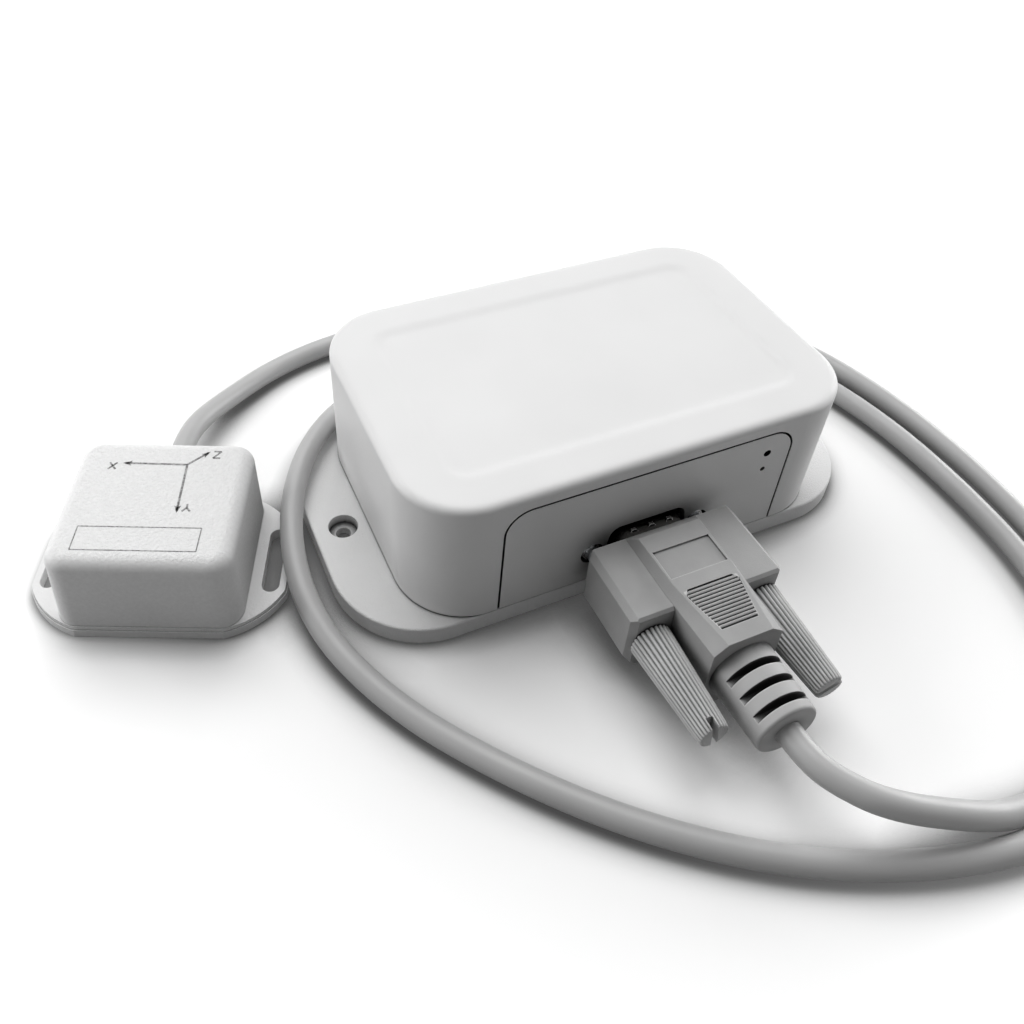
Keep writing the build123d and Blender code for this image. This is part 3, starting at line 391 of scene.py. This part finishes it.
# %% Inside finishes
look.update({
    # Glass-filled polyester, moulded: even black with a low sheen, in the connectors.
    "black": plastic("pbt_black", "1E1E20", "161617", grain=0.20, depth=0.008, rough=0.48, edge=0.08,
                     specular=0.4, patch=4.0),
    # Black ABS of the battery holder: slightly greyer and rounder than the connectors.
    "holder": plastic("abs_black_holder", "242424", "1C1C1C", grain=0.30, depth=0.010, rough=0.50, edge=0.15,
                      specular=0.4, patch=9.0),
    # PVC film, shrunk on the cells: tight, glossy and bluish.
    "sleeve": plastic("pvc_cell_sleeve", "4A5568", "414B5D", grain=0.60, depth=0.006, rough=0.24, edge=0.25,
                      specular=0.5, patch=16.0),
    # Solder mask, cured over glass cloth: a green lacquer, glossy, with the weave of 0.45 mm just felt.
    "mask": plastic("solder_mask_green", "1F6B42", "1A5E39", grain=0.45, depth=0.012, rough=0.32, edge=0.05,
                    specular=0.5, patch=3.0),
    # Bare laminate, etched: grey-green and half matt.
    "antenna": plastic("laminate_grey_green", "4F5A55", "464F4B", grain=0.40, depth=0.008, rough=0.40,
                       edge=0.05, specular=0.4, patch=3.0),
    # Epoxy, moulded round the chips: near black and dusty.
    "epoxy": plastic("epoxy_package", "1B1B1D", "131314", grain=0.15, depth=0.006, rough=0.50, edge=0.06,
                     specular=0.4, patch=2.0),
    # Polyester film, shrunk on the capacitors: dark and glossy.
    "sleeve_dark": plastic("pet_capacitor_sleeve", "20242E", "191C25", grain=0.30, depth=0.005, rough=0.25,
                           edge=0.12, specular=0.5, patch=3.0),
    # Black nylon of the small switch, with crisp edges.
    "switch": plastic("nylon_switch", "2E2E2E", "262626", grain=0.20, depth=0.008, rough=0.50, edge=0.08,
                      specular=0.4, patch=2.0),
    # Natural nylon of the button. It stands at the end of a pinhole, where hardly any light arrives, so painted
    # shade makes it nearly black.
    "button": plastic("nylon_button", "C9C9C9", "BDBDBD", grain=0.20, depth=0.005, rough=0.45, edge=0.08,
                      specular=0.4, patch=1.5, deep="060606", reach=4.0, closed=0.45),
    # PVC, extruded on the thin wires: even colour and a soft gloss.
    "core": plastic("pvc_core", "A63A2B", "983327", grain=0.30, depth=0.004, rough=0.36, edge=0.0, specular=0.5,
                    patch=2.0),
    # Natural nylon of the cable tie: milky and waxy.
    "tie": plastic("nylon_natural", "DAD8CE", "CFCDC2", grain=0.30, depth=0.006, rough=0.42, edge=0.1,
                   specular=0.4, patch=3.0),
    # Green polyamide of the terminal block: even and half matt.
    "terminal": plastic("pa_terminal_green", "3E7A55", "366C4A", grain=0.30, depth=0.008, rough=0.46, edge=0.12,
                        specular=0.4, patch=3.0),
})
print(len(look), "finishes so far")


# %% [markdown]
# ## The metals
# Five platings and one bare steel. A metal keeps the default IOR, because its colour does that work, and only
# its tone and roughness tell one plating from the next.

# %% Metal finishes
look.update({
    # Satin nickel plate, with painted shade in its narrow opening and a painted highlight on the raised dimples.
    "nickel": metal("nickel_plate_satin", "989793", "8C8B87", rough=0.22, scratch=0.4, depth=0.001, edge=0.1,
                    deep="060606"),
    # Zinc on steel screws: bluish and cloudy, with a broad dull gleam.
    "zinc": metal("zinc_plated_steel", "B4B7BA", "A2A5A9", rough=0.34),
    # A thin flash of gold on the contacts: warm, and sharper than the zinc.
    "gold": metal("gold_flash", "D9B765", "CBA854", rough=0.26),
    # Nickel on drawn spring wire: fine lines along the wire.
    "spring": metal("spring_steel_nickel", "C2C0BA", "B0AEA8", rough=0.30),
    # Tin on a stamped can: pale and slightly cloudy.
    "tin": metal("tinned_can", "BDBDBC", "ABABAA", rough=0.36),
    # Drawn steel of the sensor's can: greyer than the tin.
    "can": metal("sensor_can_steel", "B2B2B2", "A0A0A0", rough=0.38),
})
print(len(look), "finishes so far")


# %% [markdown]
# ## Clear and smoked
# Behind the panel sits a lamp in clear epoxy, and a smoked acrylic pipe leads its light to the front. A pipe that
# is really see-through would show the dark inside of the box, with much noise. Unlit, it swallows the light and
# reads as a dark dot, so it is made opaque, and its near-black colour is painted shade for that dark dot; only the
# lamp's lens is clear.

# %% Lens and pipe
def clear_plastic(name, tint, rough):
    """Cast epoxy, clear with faint waves in its faces, so that what lies behind swims a little."""
    material, tree, shader, place = start(name)
    shader.inputs["Base Color"].default_value = srgb(tint)
    shader.inputs["Transmission Weight"].default_value = 0.85
    shader.inputs["IOR"].default_value = 1.49
    waves = noise(tree, place, 1.2, 2.0)
    tree.links.new(spread(tree, waves, rough, rough + 0.06), shader.inputs["Roughness"])
    tree.links.new(relief(tree, waves, 0.01, 0.5, 0.08), shader.inputs["Normal"])
    return material


# Near black: painted shade for the unlit pinhole.
look["pipe"] = plastic("acrylic_smoked_light_pipe_painted_shade", "080808", "050505", grain=0.20, depth=0.002, rough=0.40,
                       edge=0.0, specular=0.0, patch=1.5)
look["lamp"] = clear_plastic("epoxy_lamp_lens", "DDE3D4", 0.12)
print(len(look), "finishes in all")


# %% [markdown]
# ## Dressing the nodes
# A list says which nodes wear which finish. It could be a line for each node, but a finish that several pieces
# share is then easy to lose. Read this way round, the list also shows what is made of the same stuff.

# %% Dress the nodes
wears = {
    "enclosure": ["top_cover"],
    "plate": ["base_plate"],
    "panel": ["front_panel"],
    "pod": ["pod_cover"],
    "pod_plate": ["pod_base"],
    "hood": ["plug_hood"],
    "boot": ["strain_relief"],
    "knob": ["thumb_knob_left", "thumb_knob_right"],
    "lead": ["plug_lead_tail", "pod_lead_tail"],
    "gland": ["pod_gland"],
    "gasket": ["base_seal"],
    "black": ["socket_insulator", "plug_insulator", "indicator_header"],
    "holder": ["battery_holder"],
    "sleeve": ["battery_cells"],
    "mask": ["circuit_board", "indicator_board", "pod_board"],
    "antenna": ["antenna"],
    "epoxy": ["processor", "line_driver", "pod_chips"],
    "sleeve_dark": ["capacitors"],
    "switch": ["reset_switch"],
    "button": ["reset_button"],
    "core": ["plug_cores", "pod_cores"],
    "tie": ["pod_lead_tie"],
    "terminal": ["pod_terminal"],
    "nickel": ["socket_shell", "plug_shell", "jack_nuts"],
    "zinc": ["cover_screws", "board_screws", "pod_screws", "thumb_stem_left", "thumb_stem_right"],
    "gold": ["socket_contacts", "plug_pins"],
    "spring": ["battery_contacts"],
    "tin": ["radio_module"],
    "can": ["pod_accelerometer"],
    "pipe": ["light_pipe"],
    "lamp": ["status_light"],
}
for finish, names in wears.items():
    for name in names:
        for slot in nodes[name].material_slots:
            slot.material = look[finish]
print(sum(len(names) for names in wears.values()), "nodes dressed in", len(look), "materials")


# %% [markdown]
# ## Making a mesh
# The next steps make new meshes. One function turns points in millimetres into an object, one bakes modifiers
# into the mesh, and one hands the finished piece over to the model. Every mesh carries its place in its own
# points, and its object stays at the origin, because patterns on object coordinates would slide otherwise.

# %% Mesh helpers
def mesh_from(name, build, material):
    """A mesh object made by a function that fills a bmesh, in millimetres."""
    mesh = bpy.data.meshes.new(name)
    bm = bmesh.new()
    build(bm)
    bmesh.ops.scale(bm, vec=(MM, MM, MM), verts=bm.verts)
    bm.to_mesh(mesh)
    bm.free()
    mesh.materials.append(material)
    made = bpy.data.objects.new(name, mesh)
    bpy.context.scene.collection.objects.link(made)
    return made


def settled(piece):
    """Bakes a mesh object's modifiers into its mesh."""
    bpy.context.view_layer.update()
    mesh = bpy.data.meshes.new_from_object(piece.evaluated_get(bpy.context.evaluated_depsgraph_get()))
    piece.modifiers.clear()
    piece.data = mesh


def worn(piece, body="housing"):
    """Makes a finished mesh a piece of the object: it rides on a body."""
    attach(piece, body)
    return piece


print("a mesh is written in millimetres and kept in metres")


# %% [markdown]
# ## Cutting and shading
# A cut is made with the exact Boolean solver. The fast one is quicker, but it leaves holes where two faces touch.
# A cut piece must show its sharp edges and stay smooth elsewhere, so edges are marked sharp by their angle.

# %% Cut and shade
def shade_by_angle(piece, degrees):
    """Smooth faces, with edges sharper than this angle kept sharp."""
    bm = bmesh.new()
    bm.from_mesh(piece.data)
    for face in bm.faces:
        face.smooth = True
    for edge in bm.edges:
        if len(edge.link_faces) == 2 and edge.calc_face_angle(0.0) > math.radians(degrees):
            edge.smooth = False
    bm.to_mesh(piece.data)
    bm.free()


def cut(piece, cutter):
    """Takes the cutter away from the piece, then removes the cutter."""
    difference = piece.modifiers.new("cut", "BOOLEAN")
    difference.object = cutter
    difference.solver = "EXACT"
    settled(piece)
    bpy.data.objects.remove(cutter)


print("edges are sharp by angle")


# %% [markdown]
# ## Thumbscrew grips
# Two long nylon grips hold the plug's screws. Each is a taper with twenty-six flutes that fingers can hold, and
# a slot across its tip for a screwdriver. The flutes could be cut one by one with Booleans, but twenty-six cuts
# on a taper are slow and leave slivers. So the outline is written as a rule: a circle whose radius dips with a
# cosine, carried along the taper and drawn in over the last half millimetre. The table for that says how far
# before the tip each of the last rings stands, and how much smaller it is.

# %% Fluted grip
PLUG_Z = 12.75
SCREW_X = 12.5
GRIP_TIP_Y = -75.6
GRIP_RINGS = 14
POINTS_PER_FLUTE = 8
TIP_ROUNDING = [(0.5, 0.0), (0.12, 0.16), (0.0, 0.55)]


def fluted_grip(bm, x, z=PLUG_Z, root_y=-54.6, tip_y=GRIP_TIP_Y, root_r=4.25, tip_r=3.05, flutes=26, dip=0.42):
    """Rings of points along the taper, joined into a closed skin."""
    around = flutes * POINTS_PER_FLUTE
    stations = [(k / GRIP_RINGS, 0.0, 0.0) for k in range(GRIP_RINGS)]
    stations += [(1.0, before_tip, drawn_in) for before_tip, drawn_in in TIP_ROUNDING]
    rings = []
    for share, before_tip, drawn_in in stations:
        y = root_y + (tip_y - root_y) * share + before_tip
        radius = root_r + (tip_r - root_r) * share - drawn_in
        ring = []
        for i in range(around):
            angle = 2 * math.pi * i / around
            wave = 0.5 - 0.5 * math.cos(flutes * angle)
            reach = radius - dip * radius / root_r * wave ** 1.8
            ring.append(bm.verts.new((x + reach * math.cos(angle), y, z + reach * math.sin(angle))))
        rings.append(ring)
    for low, high in zip(rings, rings[1:]):
        for i in range(around):
            j = (i + 1) % around
            bm.faces.new((low[i], low[j], high[j], high[i]))
    bm.faces.new(list(reversed(rings[0])))
    bm.faces.new(rings[-1])
    bmesh.ops.recalc_face_normals(bm, faces=bm.faces)


print("grips stand", 2 * SCREW_X, "mm apart,", PLUG_Z, "mm above the floor")


# %% [markdown]
# The slot has flat walls and sharp corners, so it is cut with a box. It is turned differently on each grip, as
# screws never stop at the same angle.

# %% Grips
def slot_cutter(bm, x, turned, z=PLUG_Z, tip_y=GRIP_TIP_Y, width=1.3, sink=2.2, length=14.0):
    """A box as wide as the slot, across the tip, turned about the screw by this many degrees."""
    bmesh.ops.create_cube(bm, size=1.0)
    bmesh.ops.scale(bm, vec=(width, 2 * sink, length), verts=bm.verts)
    bmesh.ops.rotate(bm, matrix=Matrix.Rotation(math.radians(turned), 3, "Y"), verts=bm.verts)
    bmesh.ops.translate(bm, vec=(x, tip_y, z), verts=bm.verts)


for side, word, turned in ((-1, "left", -8.0), (1, "right", 68.0)):
    grip = mesh_from("grip_" + word, lambda bm: fluted_grip(bm, side * SCREW_X), look["knob"])
    cut(grip, mesh_from("cutter", lambda bm: slot_cutter(bm, side * SCREW_X, turned), look["knob"]))
    shade_by_angle(grip, 50)
    worn(grip, word + "_thumbscrew")
    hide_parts("thumb_knob_" + word)
    print(grip.name, len(grip.data.polygons), "faces")


# %% [markdown]
# ## The plug's hood
# The hood is one moulding of soft PVC over the plug. On its top and underside a shallow field is sunk, in which
# the finger ribs stand. The whole hood could be modelled again, but its slopes and ears are in the solid
# already. So a copy of the solid, with its loose triangles merged, is cut with a six-sided prism on each side.

# %% Hood copy and prism
HOOD_HALF = 9.25
FIELD_SINK = 0.45
OVERRUN = 2.0
FIELD_OUTLINE = [(-4.95, -52.75), (4.95, -52.75), (5.9, -54.05), (3.95, -62.5), (-3.95, -62.5), (-5.9, -54.05)]


def merged_copy(node_name, name):
    """A copy of a node's loose triangles with its doubles merged and its flat faces joined."""
    node = nodes[node_name]
    made = bpy.data.objects.new(name, node.data.copy())
    bpy.context.scene.collection.objects.link(made)
    bm = bmesh.new()
    bm.from_mesh(made.data)
    bmesh.ops.remove_doubles(bm, verts=bm.verts, dist=0.002 * MM)
    bmesh.ops.dissolve_limit(bm, angle_limit=math.radians(0.6), verts=bm.verts, edges=bm.edges)
    bm.to_mesh(made.data)
    bm.free()
    return made


def rib_field(bm, low, high):
    """A six-sided prism over the ribs, from one height to another."""
    floor = [bm.verts.new((x, y, low)) for x, y in FIELD_OUTLINE]
    roof = [bm.verts.new((x, y, high)) for x, y in FIELD_OUTLINE]
    bm.faces.new(floor)
    bm.faces.new(roof)
    for i in range(len(FIELD_OUTLINE)):
        j = (i + 1) % len(FIELD_OUTLINE)
        bm.faces.new((floor[i], floor[j], roof[j], roof[i]))
    bmesh.ops.recalc_face_normals(bm, faces=bm.faces)


print("the hood is", 2 * HOOD_HALF, "mm high and its fields are", FIELD_SINK, "mm deep")


# %% Hood
hood = merged_copy("plug_hood", "plug_hood_dressed")
hood_top, hood_foot = PLUG_Z + HOOD_HALF, PLUG_Z - HOOD_HALF
for low, high in ((hood_top - FIELD_SINK, hood_top + OVERRUN), (hood_foot - OVERRUN, hood_foot + FIELD_SINK)):
    cut(hood, mesh_from("cutter", lambda bm: rib_field(bm, low, high), look["hood"]))
shade_by_angle(hood, 12)
worn(hood)
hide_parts("plug_hood")
print(hood.name, len(hood.data.polygons), "faces")


# %% [markdown]
# ## Ribs on the plug's hood
# The finger grips on both sides of the hood are twelve rounded bars each, which get shorter towards the lead.
# They could be placed by hand or with an Array modifier, but an array can't change a bar's length on the way.
# Geometry Nodes can: one bar is made once, set out along a line, and stretched by its number in the row.

# %% Rib tree
RIB_COUNT = 12
RIB_PITCH = 0.77
RIB_RADIUS = 0.34
FIRST_RIB = 11.8
LAST_RIB = 8.4


def rib_tree():
    """A node tree that sets out shortening bars along Y."""
    tree = bpy.data.node_groups.new("rib_row", "GeometryNodeTree")
    sockets = (("Count", "NodeSocketInt", RIB_COUNT), ("Pitch", "NodeSocketFloat", RIB_PITCH * MM),
               ("Rib radius", "NodeSocketFloat", RIB_RADIUS * MM),
               ("First width", "NodeSocketFloat", FIRST_RIB * MM),
               ("Last width", "NodeSocketFloat", LAST_RIB * MM))
    tree.interface.new_socket("Geometry", in_out="OUTPUT", socket_type="NodeSocketGeometry")
    for name, kind, value in sockets:
        tree.interface.new_socket(name, in_out="INPUT", socket_type=kind).default_value = value
    tree.interface.new_socket("Material", in_out="INPUT", socket_type="NodeSocketMaterial")
    given = add(tree, "NodeGroupInput").outputs
    step = add(tree, "ShaderNodeMath", {0: given["Pitch"], 1: -1.0}, operation="MULTIPLY")
    offset = add(tree, "ShaderNodeCombineXYZ", {"Y": step.outputs[0]})
    line = add(tree, "GeometryNodeMeshLine", {"Count": given["Count"], "Offset": offset.outputs[0]})
    bar = add(tree, "GeometryNodeMeshCylinder", {"Vertices": 16, "Radius": given["Rib radius"], "Depth": 1.0})
    last = add(tree, "ShaderNodeMath", {0: given["Count"], 1: 1.0}, operation="SUBTRACT")
    width = add(tree, "ShaderNodeMapRange", {"Value": add(tree, "GeometryNodeInputIndex").outputs[0],
                                             "From Max": last.outputs[0], "To Min": given["First width"],
                                             "To Max": given["Last width"]})
    size = add(tree, "ShaderNodeCombineXYZ", {"X": 1.0, "Y": 1.0, "Z": width.outputs["Result"]})
    laid = add(tree, "GeometryNodeInstanceOnPoints", {"Points": line.outputs[0], "Instance": bar.outputs["Mesh"],
                                                      "Rotation": (0.0, math.radians(90.0), 0.0),
                                                      "Scale": size.outputs[0]})
    real = add(tree, "GeometryNodeRealizeInstances", {"Geometry": laid.outputs[0]})
    dressed = add(tree, "GeometryNodeSetMaterial", {"Geometry": real.outputs[0], "Material": given["Material"]})
    add(tree, "NodeGroupOutput", {"Geometry": dressed.outputs[0]})
    return tree


ribs = rib_tree()
print(ribs.name, "has", len(ribs.nodes), "nodes")


# %% [markdown]
# The tree is run twice, for the top and for the underside. Each result is turned into a plain mesh and moved to
# its place, because the export drops instances and bakes every piece at the origin.

# %% Hood ribs
RIB_START_Y = -53.35
for name, z in (("hood_ribs_top", hood_top - RIB_RADIUS), ("hood_ribs_under", hood_foot + RIB_RADIUS)):
    row = mesh_from(name, lambda bm: None, look["hood"])
    rows = row.modifiers.new("ribs", "NODES")
    rows.node_group = ribs
    for item in ribs.interface.items_tree:
        if item.name == "Material":
            rows[item.identifier] = look["hood"]
    settled(row)
    row.data.transform(Matrix.Translation((0.0, RIB_START_Y * MM, z * MM)))
    shade_by_angle(row, 40)
    worn(row)
    print(row.name, len(row.data.polygons), "faces")


# %% [markdown]
# ## The lead
# The lead is a round, rather stiff cable, 5 mm thick, in a smooth PVC jacket that shows one long streak of light.
# It could be swept from arcs and straights, but a real cable has no straights: its bend changes all the way.
# A NURBS curve gives that, because it passes near its points and never kinks. They repeat the route of the
# solid, moved a few millimetres here and there to follow the photograph: out of the plug, twice round the box
# on the floor, over the edges of both flanges and into the back of the pod.

# %% Route of the lead
route = [
    (0.0, -79.5, 12.75), (0.0, -84.7, 12.75), (1.9, -89.9, 12.75), (7.5, -96.7, 12.4), (22.0, -102.2, 7.9),
    (33.6, -104.0, 2.9), (51.5, -104.3, 2.5), (70.5, -89.5, 2.5), (80.5, -65.5, 2.5), (83.0, -40.5, 2.5),
    (82.0, -16.0, 2.5), (75.5, 8.5, 2.5), (61.0, 28.5, 2.5), (40.0, 40.5, 2.5), (15.0, 44.5, 2.5),
    (-10.0, 45.0, 3.2), (-34.5, 40.0, 6.0), (-54.5, 26.5, 8.2), (-67.0, 4.5, 7.2), (-69.5, -20.0, 4.0),
    (-60.5, -43.0, 2.5), (-45.5, -63.5, 2.5), (-28.5, -81.0, 2.5), (-8.5, -95.5, 2.5), (14.5, -105.5, 2.5),
    (39.0, -110.0, 2.5), (63.0, -103.5, 2.5), (80.0, -86.0, 2.5), (88.5, -62.0, 2.5), (91.0, -37.5, 2.5),
    (89.5, -12.5, 2.5), (83.5, 11.5, 2.5), (71.5, 33.0, 2.5), (52.5, 49.0, 2.5), (29.5, 58.0, 2.5),
    (5.0, 63.0, 2.5), (-19.5, 65.0, 2.5), (-40.0, 63.5, 2.5), (-56.0, 59.0, 2.5), (-69.8, 50.0, 4.0),
    (-78.7, 41.0, 7.2), (-83.63, 31.78, 9.0), (-86.752, 24.416, 9.0),
]
print("the lead has", len(route), "control points")


# %% [markdown]
# The curve gets its thickness as a bevel, so its skin follows every bend. Then it rides on the housing, and the
# solid's own lead is hidden.

# %% Lead
LEAD_RADIUS = 2.5
curve = bpy.data.curves.new("lead", "CURVE")
curve.dimensions = "3D"
curve.resolution_u = 8
curve.bevel_depth = LEAD_RADIUS * MM
curve.bevel_resolution = 6
spline = curve.splines.new("NURBS")
spline.points.add(len(route) - 1)
for point, (x, y, z) in zip(spline.points, route):
    point.co = (x * MM, y * MM, z * MM, 1.0)
spline.order_u = 3
spline.use_endpoint_u = True
lead = bpy.data.objects.new("lead", curve)
bpy.context.scene.collection.objects.link(lead)
curve.materials.append(look["lead"])
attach(lead, "housing")
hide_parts("sensor_lead")


# %% [markdown]
# ## Marks on the pod
# The pod senses vibration along three axes, and three printed arrows say which way they point. Below them is a
# thin printed frame. Ink like this is pressed on with a soft pad, and the grain under it breaks its lines up.
# It could be a picture on the cover, but the marks then wouldn't be there in the mesh. So they are thin strips
# that lie 0.03 mm above the top, drawn in the pod's own frame, and they read from behind the pod.

# %% Strips, arrows and letters
POD_TOP = (-92.6, 6.8, 21.3)
POD_TURN = -23.0
POD = Matrix.Translation(POD_TOP) @ Matrix.Rotation(math.radians(POD_TURN), 4, "Z")
INK = 0.03
LETTERS = {
    "X": [((-0.8, -1), (0.8, 1)), ((-0.8, 1), (0.8, -1))],
    "Y": [((0, -1), (0, 0)), ((0, 0), (-0.85, 1)), ((0, 0), (0.85, 1))],
    "Z": [((-0.8, 1), (0.8, 1)), ((0.8, 1), (-0.8, -1)), ((-0.8, -1), (0.8, -1))],
}


def strip(bm, start, end, width):
    """A flat strip between two points of the pod's top."""
    a, b = Vector(start), Vector(end)
    side = (b - a).normalized().orthogonal() * (width / 2)
    corners = [a + side, b + side, b - side, a - side]
    bm.faces.new([bm.verts.new(POD @ Vector((p.x, p.y, INK))) for p in corners])


def arrow(bm, start, end, width=0.46, head=1.9):
    """A strip with a barbed head that ends a little past its end."""
    strip(bm, start, end, width)
    a, b = Vector(start), Vector(end)
    way = (b - a).normalized()
    side = way.orthogonal()
    tip = b + way * 0.5
    barb = side * head * 0.36
    corners = [tip, tip - way * head + barb, tip - way * head * 0.8, tip - way * head - barb]
    bm.faces.new([bm.verts.new(POD @ Vector((p.x, p.y, INK))) for p in corners])


def letter(bm, middle, strokes, height=1.9, width=0.38):
    """A letter from strokes in a square from -1 to 1, turned to read from behind."""
    for first, second in strokes:
        ends = [(middle[0] - u * height / 2, middle[1] - v * height / 2) for u, v in (first, second)]
        strip(bm, ends[0], ends[1], width)


print(len(LETTERS), "letters known")


# %% Marks
def axis_marks(bm):
    """Three arrows from one corner, each with its letter."""
    origin = (4.9, 9.6)
    arrow(bm, origin, (-8.0, 9.75))
    arrow(bm, origin, (5.4, -3.1))
    arrow(bm, origin, (8.7, 13.2))
    letter(bm, (-10.4, 8.9), LETTERS["X"])
    letter(bm, (7.2, -2.2), LETTERS["Y"])
    letter(bm, (10.6, 12.6), LETTERS["Z"])


def empty_field(bm):
    """A thin frame round an empty field."""
    left, right, low, high = -12.9, 11.2, -13.2, -7.4
    line = 0.22
    strip(bm, (left, low), (right, low), line)
    strip(bm, (left, high), (right, high), line)
    strip(bm, (left, low), (left, high), line)
    strip(bm, (right, low), (right, high), line)


def ink(name, dark, light):
    """Pad-printed ink that the grain below breaks up."""
    material, tree, shader, place = start(name)
    grain = noise(tree, place, 0.45, 2.0, 0.6)
    tree.links.new(two_tones(tree, spread(tree, grain, -0.5, 1.5), srgb(dark), srgb(light)),
                   shader.inputs["Base Color"])
    shader.inputs["Roughness"].default_value = 0.6
    tree.links.new(relief(tree, grain, 0.02), shader.inputs["Normal"])
    return material


look["ink"] = ink("pad_print_grey", "545454", "A8A8A8")
for name, build in (("axis_marks", axis_marks), ("empty_field", empty_field)):
    mark = worn(mesh_from(name, build, look["ink"]))
    print(mark.name, len(mark.data.polygons), "strips")


# %% [markdown]
# ## The table
# The photograph was taken on a white table under soft light that comes from above and behind. The table could be
# made white with a very bright lamp, but that would burn out the white box too. So the floor only looks near
# white to rays that go to the camera, and glows a little more farther out, where the photograph fades to white.
# To the object it is a mid grey, which keeps the underside of the plug and the front of the box in shade.
#
# The floor also gets painted shade close to what stands on it, in three steps: a soft painted shadow round things,
# a thin painted contact shadow where they touch it, and deep painted shade where the plug and the box shut it in.
# Each step has its tone, its reach in millimetres, how closed in the floor must be, and its samples. Under a pale
# object a painted contact shadow is what ties it to the table.

# %% Floor material
FLOOR_GLOW = 0.06
FAR_GLOW = 0.26
GLOW_NEAR, GLOW_FAR = 86.0, 140.0
FADE_NEAR, FADE_FAR = 300.0, 1500.0
FLOOR_PAINTED_SHADES = [("404040", 9.0, 0.43, 16), ("2C2C2C", 3.0, 0.35, 12), ("101010", 30.0, 0.02, 12)]


def shown(tree):
    """1 for rays that show the background: straight to the camera, or by way of metal, gloss or clear plastic."""
    rays = add(tree, "ShaderNodeLightPath").outputs
    both = add(tree, "ShaderNodeMath", {0: rays["Is Camera Ray"], 1: rays["Is Glossy Ray"]}, operation="MAXIMUM")
    every = add(tree, "ShaderNodeMath", {0: both.outputs[0], 1: rays["Is Transmission Ray"]}, operation="MAXIMUM")
    return every.outputs[0]


def floor_material():
    """Near white where it is seen, and darker to the object, so that it throws little light up at its sides."""
    material, tree, shader, place = start("studio_floor")
    tone = spread(tree, noise(tree, place, 120.0, 2.0), 0.0, 1.0)
    seen = shown(tree)
    pale = two_tones(tree, tone, srgb("FAFAFA"), srgb("FDFDFD"))
    # Painted shadows round everything that stands on the floor.
    for deep, reach, closed, samples in FLOOR_PAINTED_SHADES:
        pale = painted_shade_in_corners(tree, pale, deep, reach, closed, samples=samples)
    tree.links.new(two_tones(tree, seen, srgb("929292"), pale), shader.inputs["Base Color"])
    distance = add(tree, "ShaderNodeVectorMath", {0: place}, operation="LENGTH").outputs["Value"]
    level = add(tree, "ShaderNodeMapRange", {"Value": distance, "From Min": GLOW_NEAR, "From Max": GLOW_FAR,
                                             "To Min": FLOOR_GLOW, "To Max": FAR_GLOW})
    beyond = add(tree, "ShaderNodeMapRange", {"Value": distance, "From Min": FADE_NEAR,
                                              "From Max": FADE_FAR})
    total = add(tree, "ShaderNodeMath", {0: level.outputs["Result"], 1: beyond.outputs["Result"]}, operation="ADD")
    glow = add(tree, "ShaderNodeMath", {0: seen, 1: total.outputs[0]}, operation="MULTIPLY")
    shader.inputs["Emission Color"].default_value = srgb("FFFFFF")
    tree.links.new(glow.outputs["Value"], shader.inputs["Emission Strength"])
    shader.inputs["Roughness"].default_value = 0.45
    shader.inputs["Specular IOR Level"].default_value = 0.3
    return material


print("the floor glows from", FLOOR_GLOW, "to", FAR_GLOW)


# %% Floor
FLOOR_HALF = 4.0
floor_corners = [(-FLOOR_HALF, -FLOOR_HALF, 0), (FLOOR_HALF, -FLOOR_HALF, 0),
                 (FLOOR_HALF, FLOOR_HALF, 0), (-FLOOR_HALF, FLOOR_HALF, 0)]
floor_mesh = bpy.data.meshes.new("floor")
floor_mesh.from_pydata(floor_corners, [], [(0, 1, 2, 3)])
floor = bpy.data.objects.new("floor", floor_mesh)
floor.data.materials.append(floor_material())
bpy.context.scene.collection.objects.link(floor)
floor.location.z = -0.02 * MM
floor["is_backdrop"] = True
print("the floor is", 2 * FLOOR_HALF, "m wide")


# %% [markdown]
# ## The light
# The light is a wide soft lamp overhead and a smaller one at each side, with a weak even surround, so that a
# level face renders about as its colour is written. One strong lamp would be simpler, but its shadows would be
# hard, and the photograph has none that are. The surround looks white wherever it is seen, also in the metal.

# %% Surround
SURROUND = 0.14
world = bpy.data.worlds.new("studio")
world.use_nodes = True
surround = world.node_tree.nodes["Background"]
surround.inputs["Color"].default_value = srgb("FFFFFF")
level = add(world.node_tree, "ShaderNodeMapRange", {"Value": shown(world.node_tree),
                                                    "To Min": SURROUND, "To Max": 1.0})
world.node_tree.links.new(level.outputs["Result"], surround.inputs["Strength"])
bpy.context.scene.world = world
print("surround at", SURROUND)


# %% Lamps
def lamp(name, place, aim, size, watts):
    """A square lamp of this size, at a place and aimed at another, in metres."""
    data = bpy.data.lights.new(name, "AREA")
    data.shape = "SQUARE"
    data.size = size
    data.energy = watts
    light = bpy.data.objects.new(name, data)
    light.location = place
    light.rotation_euler = (Vector(aim) - Vector(place)).to_track_quat("-Z", "Y").to_euler()
    bpy.context.scene.collection.objects.link(light)


lamp("overhead", (0.0, 0.42, 0.85), (0.0, 0.0, 0.0), 0.85, 7.2)
lamp("left_side", (-0.66, 0.34, 0.26), (-0.02, 0.0, 0.02), 0.45, 2.5)
lamp("right_side", (0.68, 0.08, 0.2), (0.02, 0.0, 0.02), 0.45, 3.4)
print("three lamps placed")


# %% [markdown]
# ## Finish
# The box round everything that is shown, the floor left out, is printed in millimetres.

# %% Finish
low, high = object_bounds()
print("visual box", [round(v / MM, 1) for v in low], [round(v / MM, 1) for v in high])
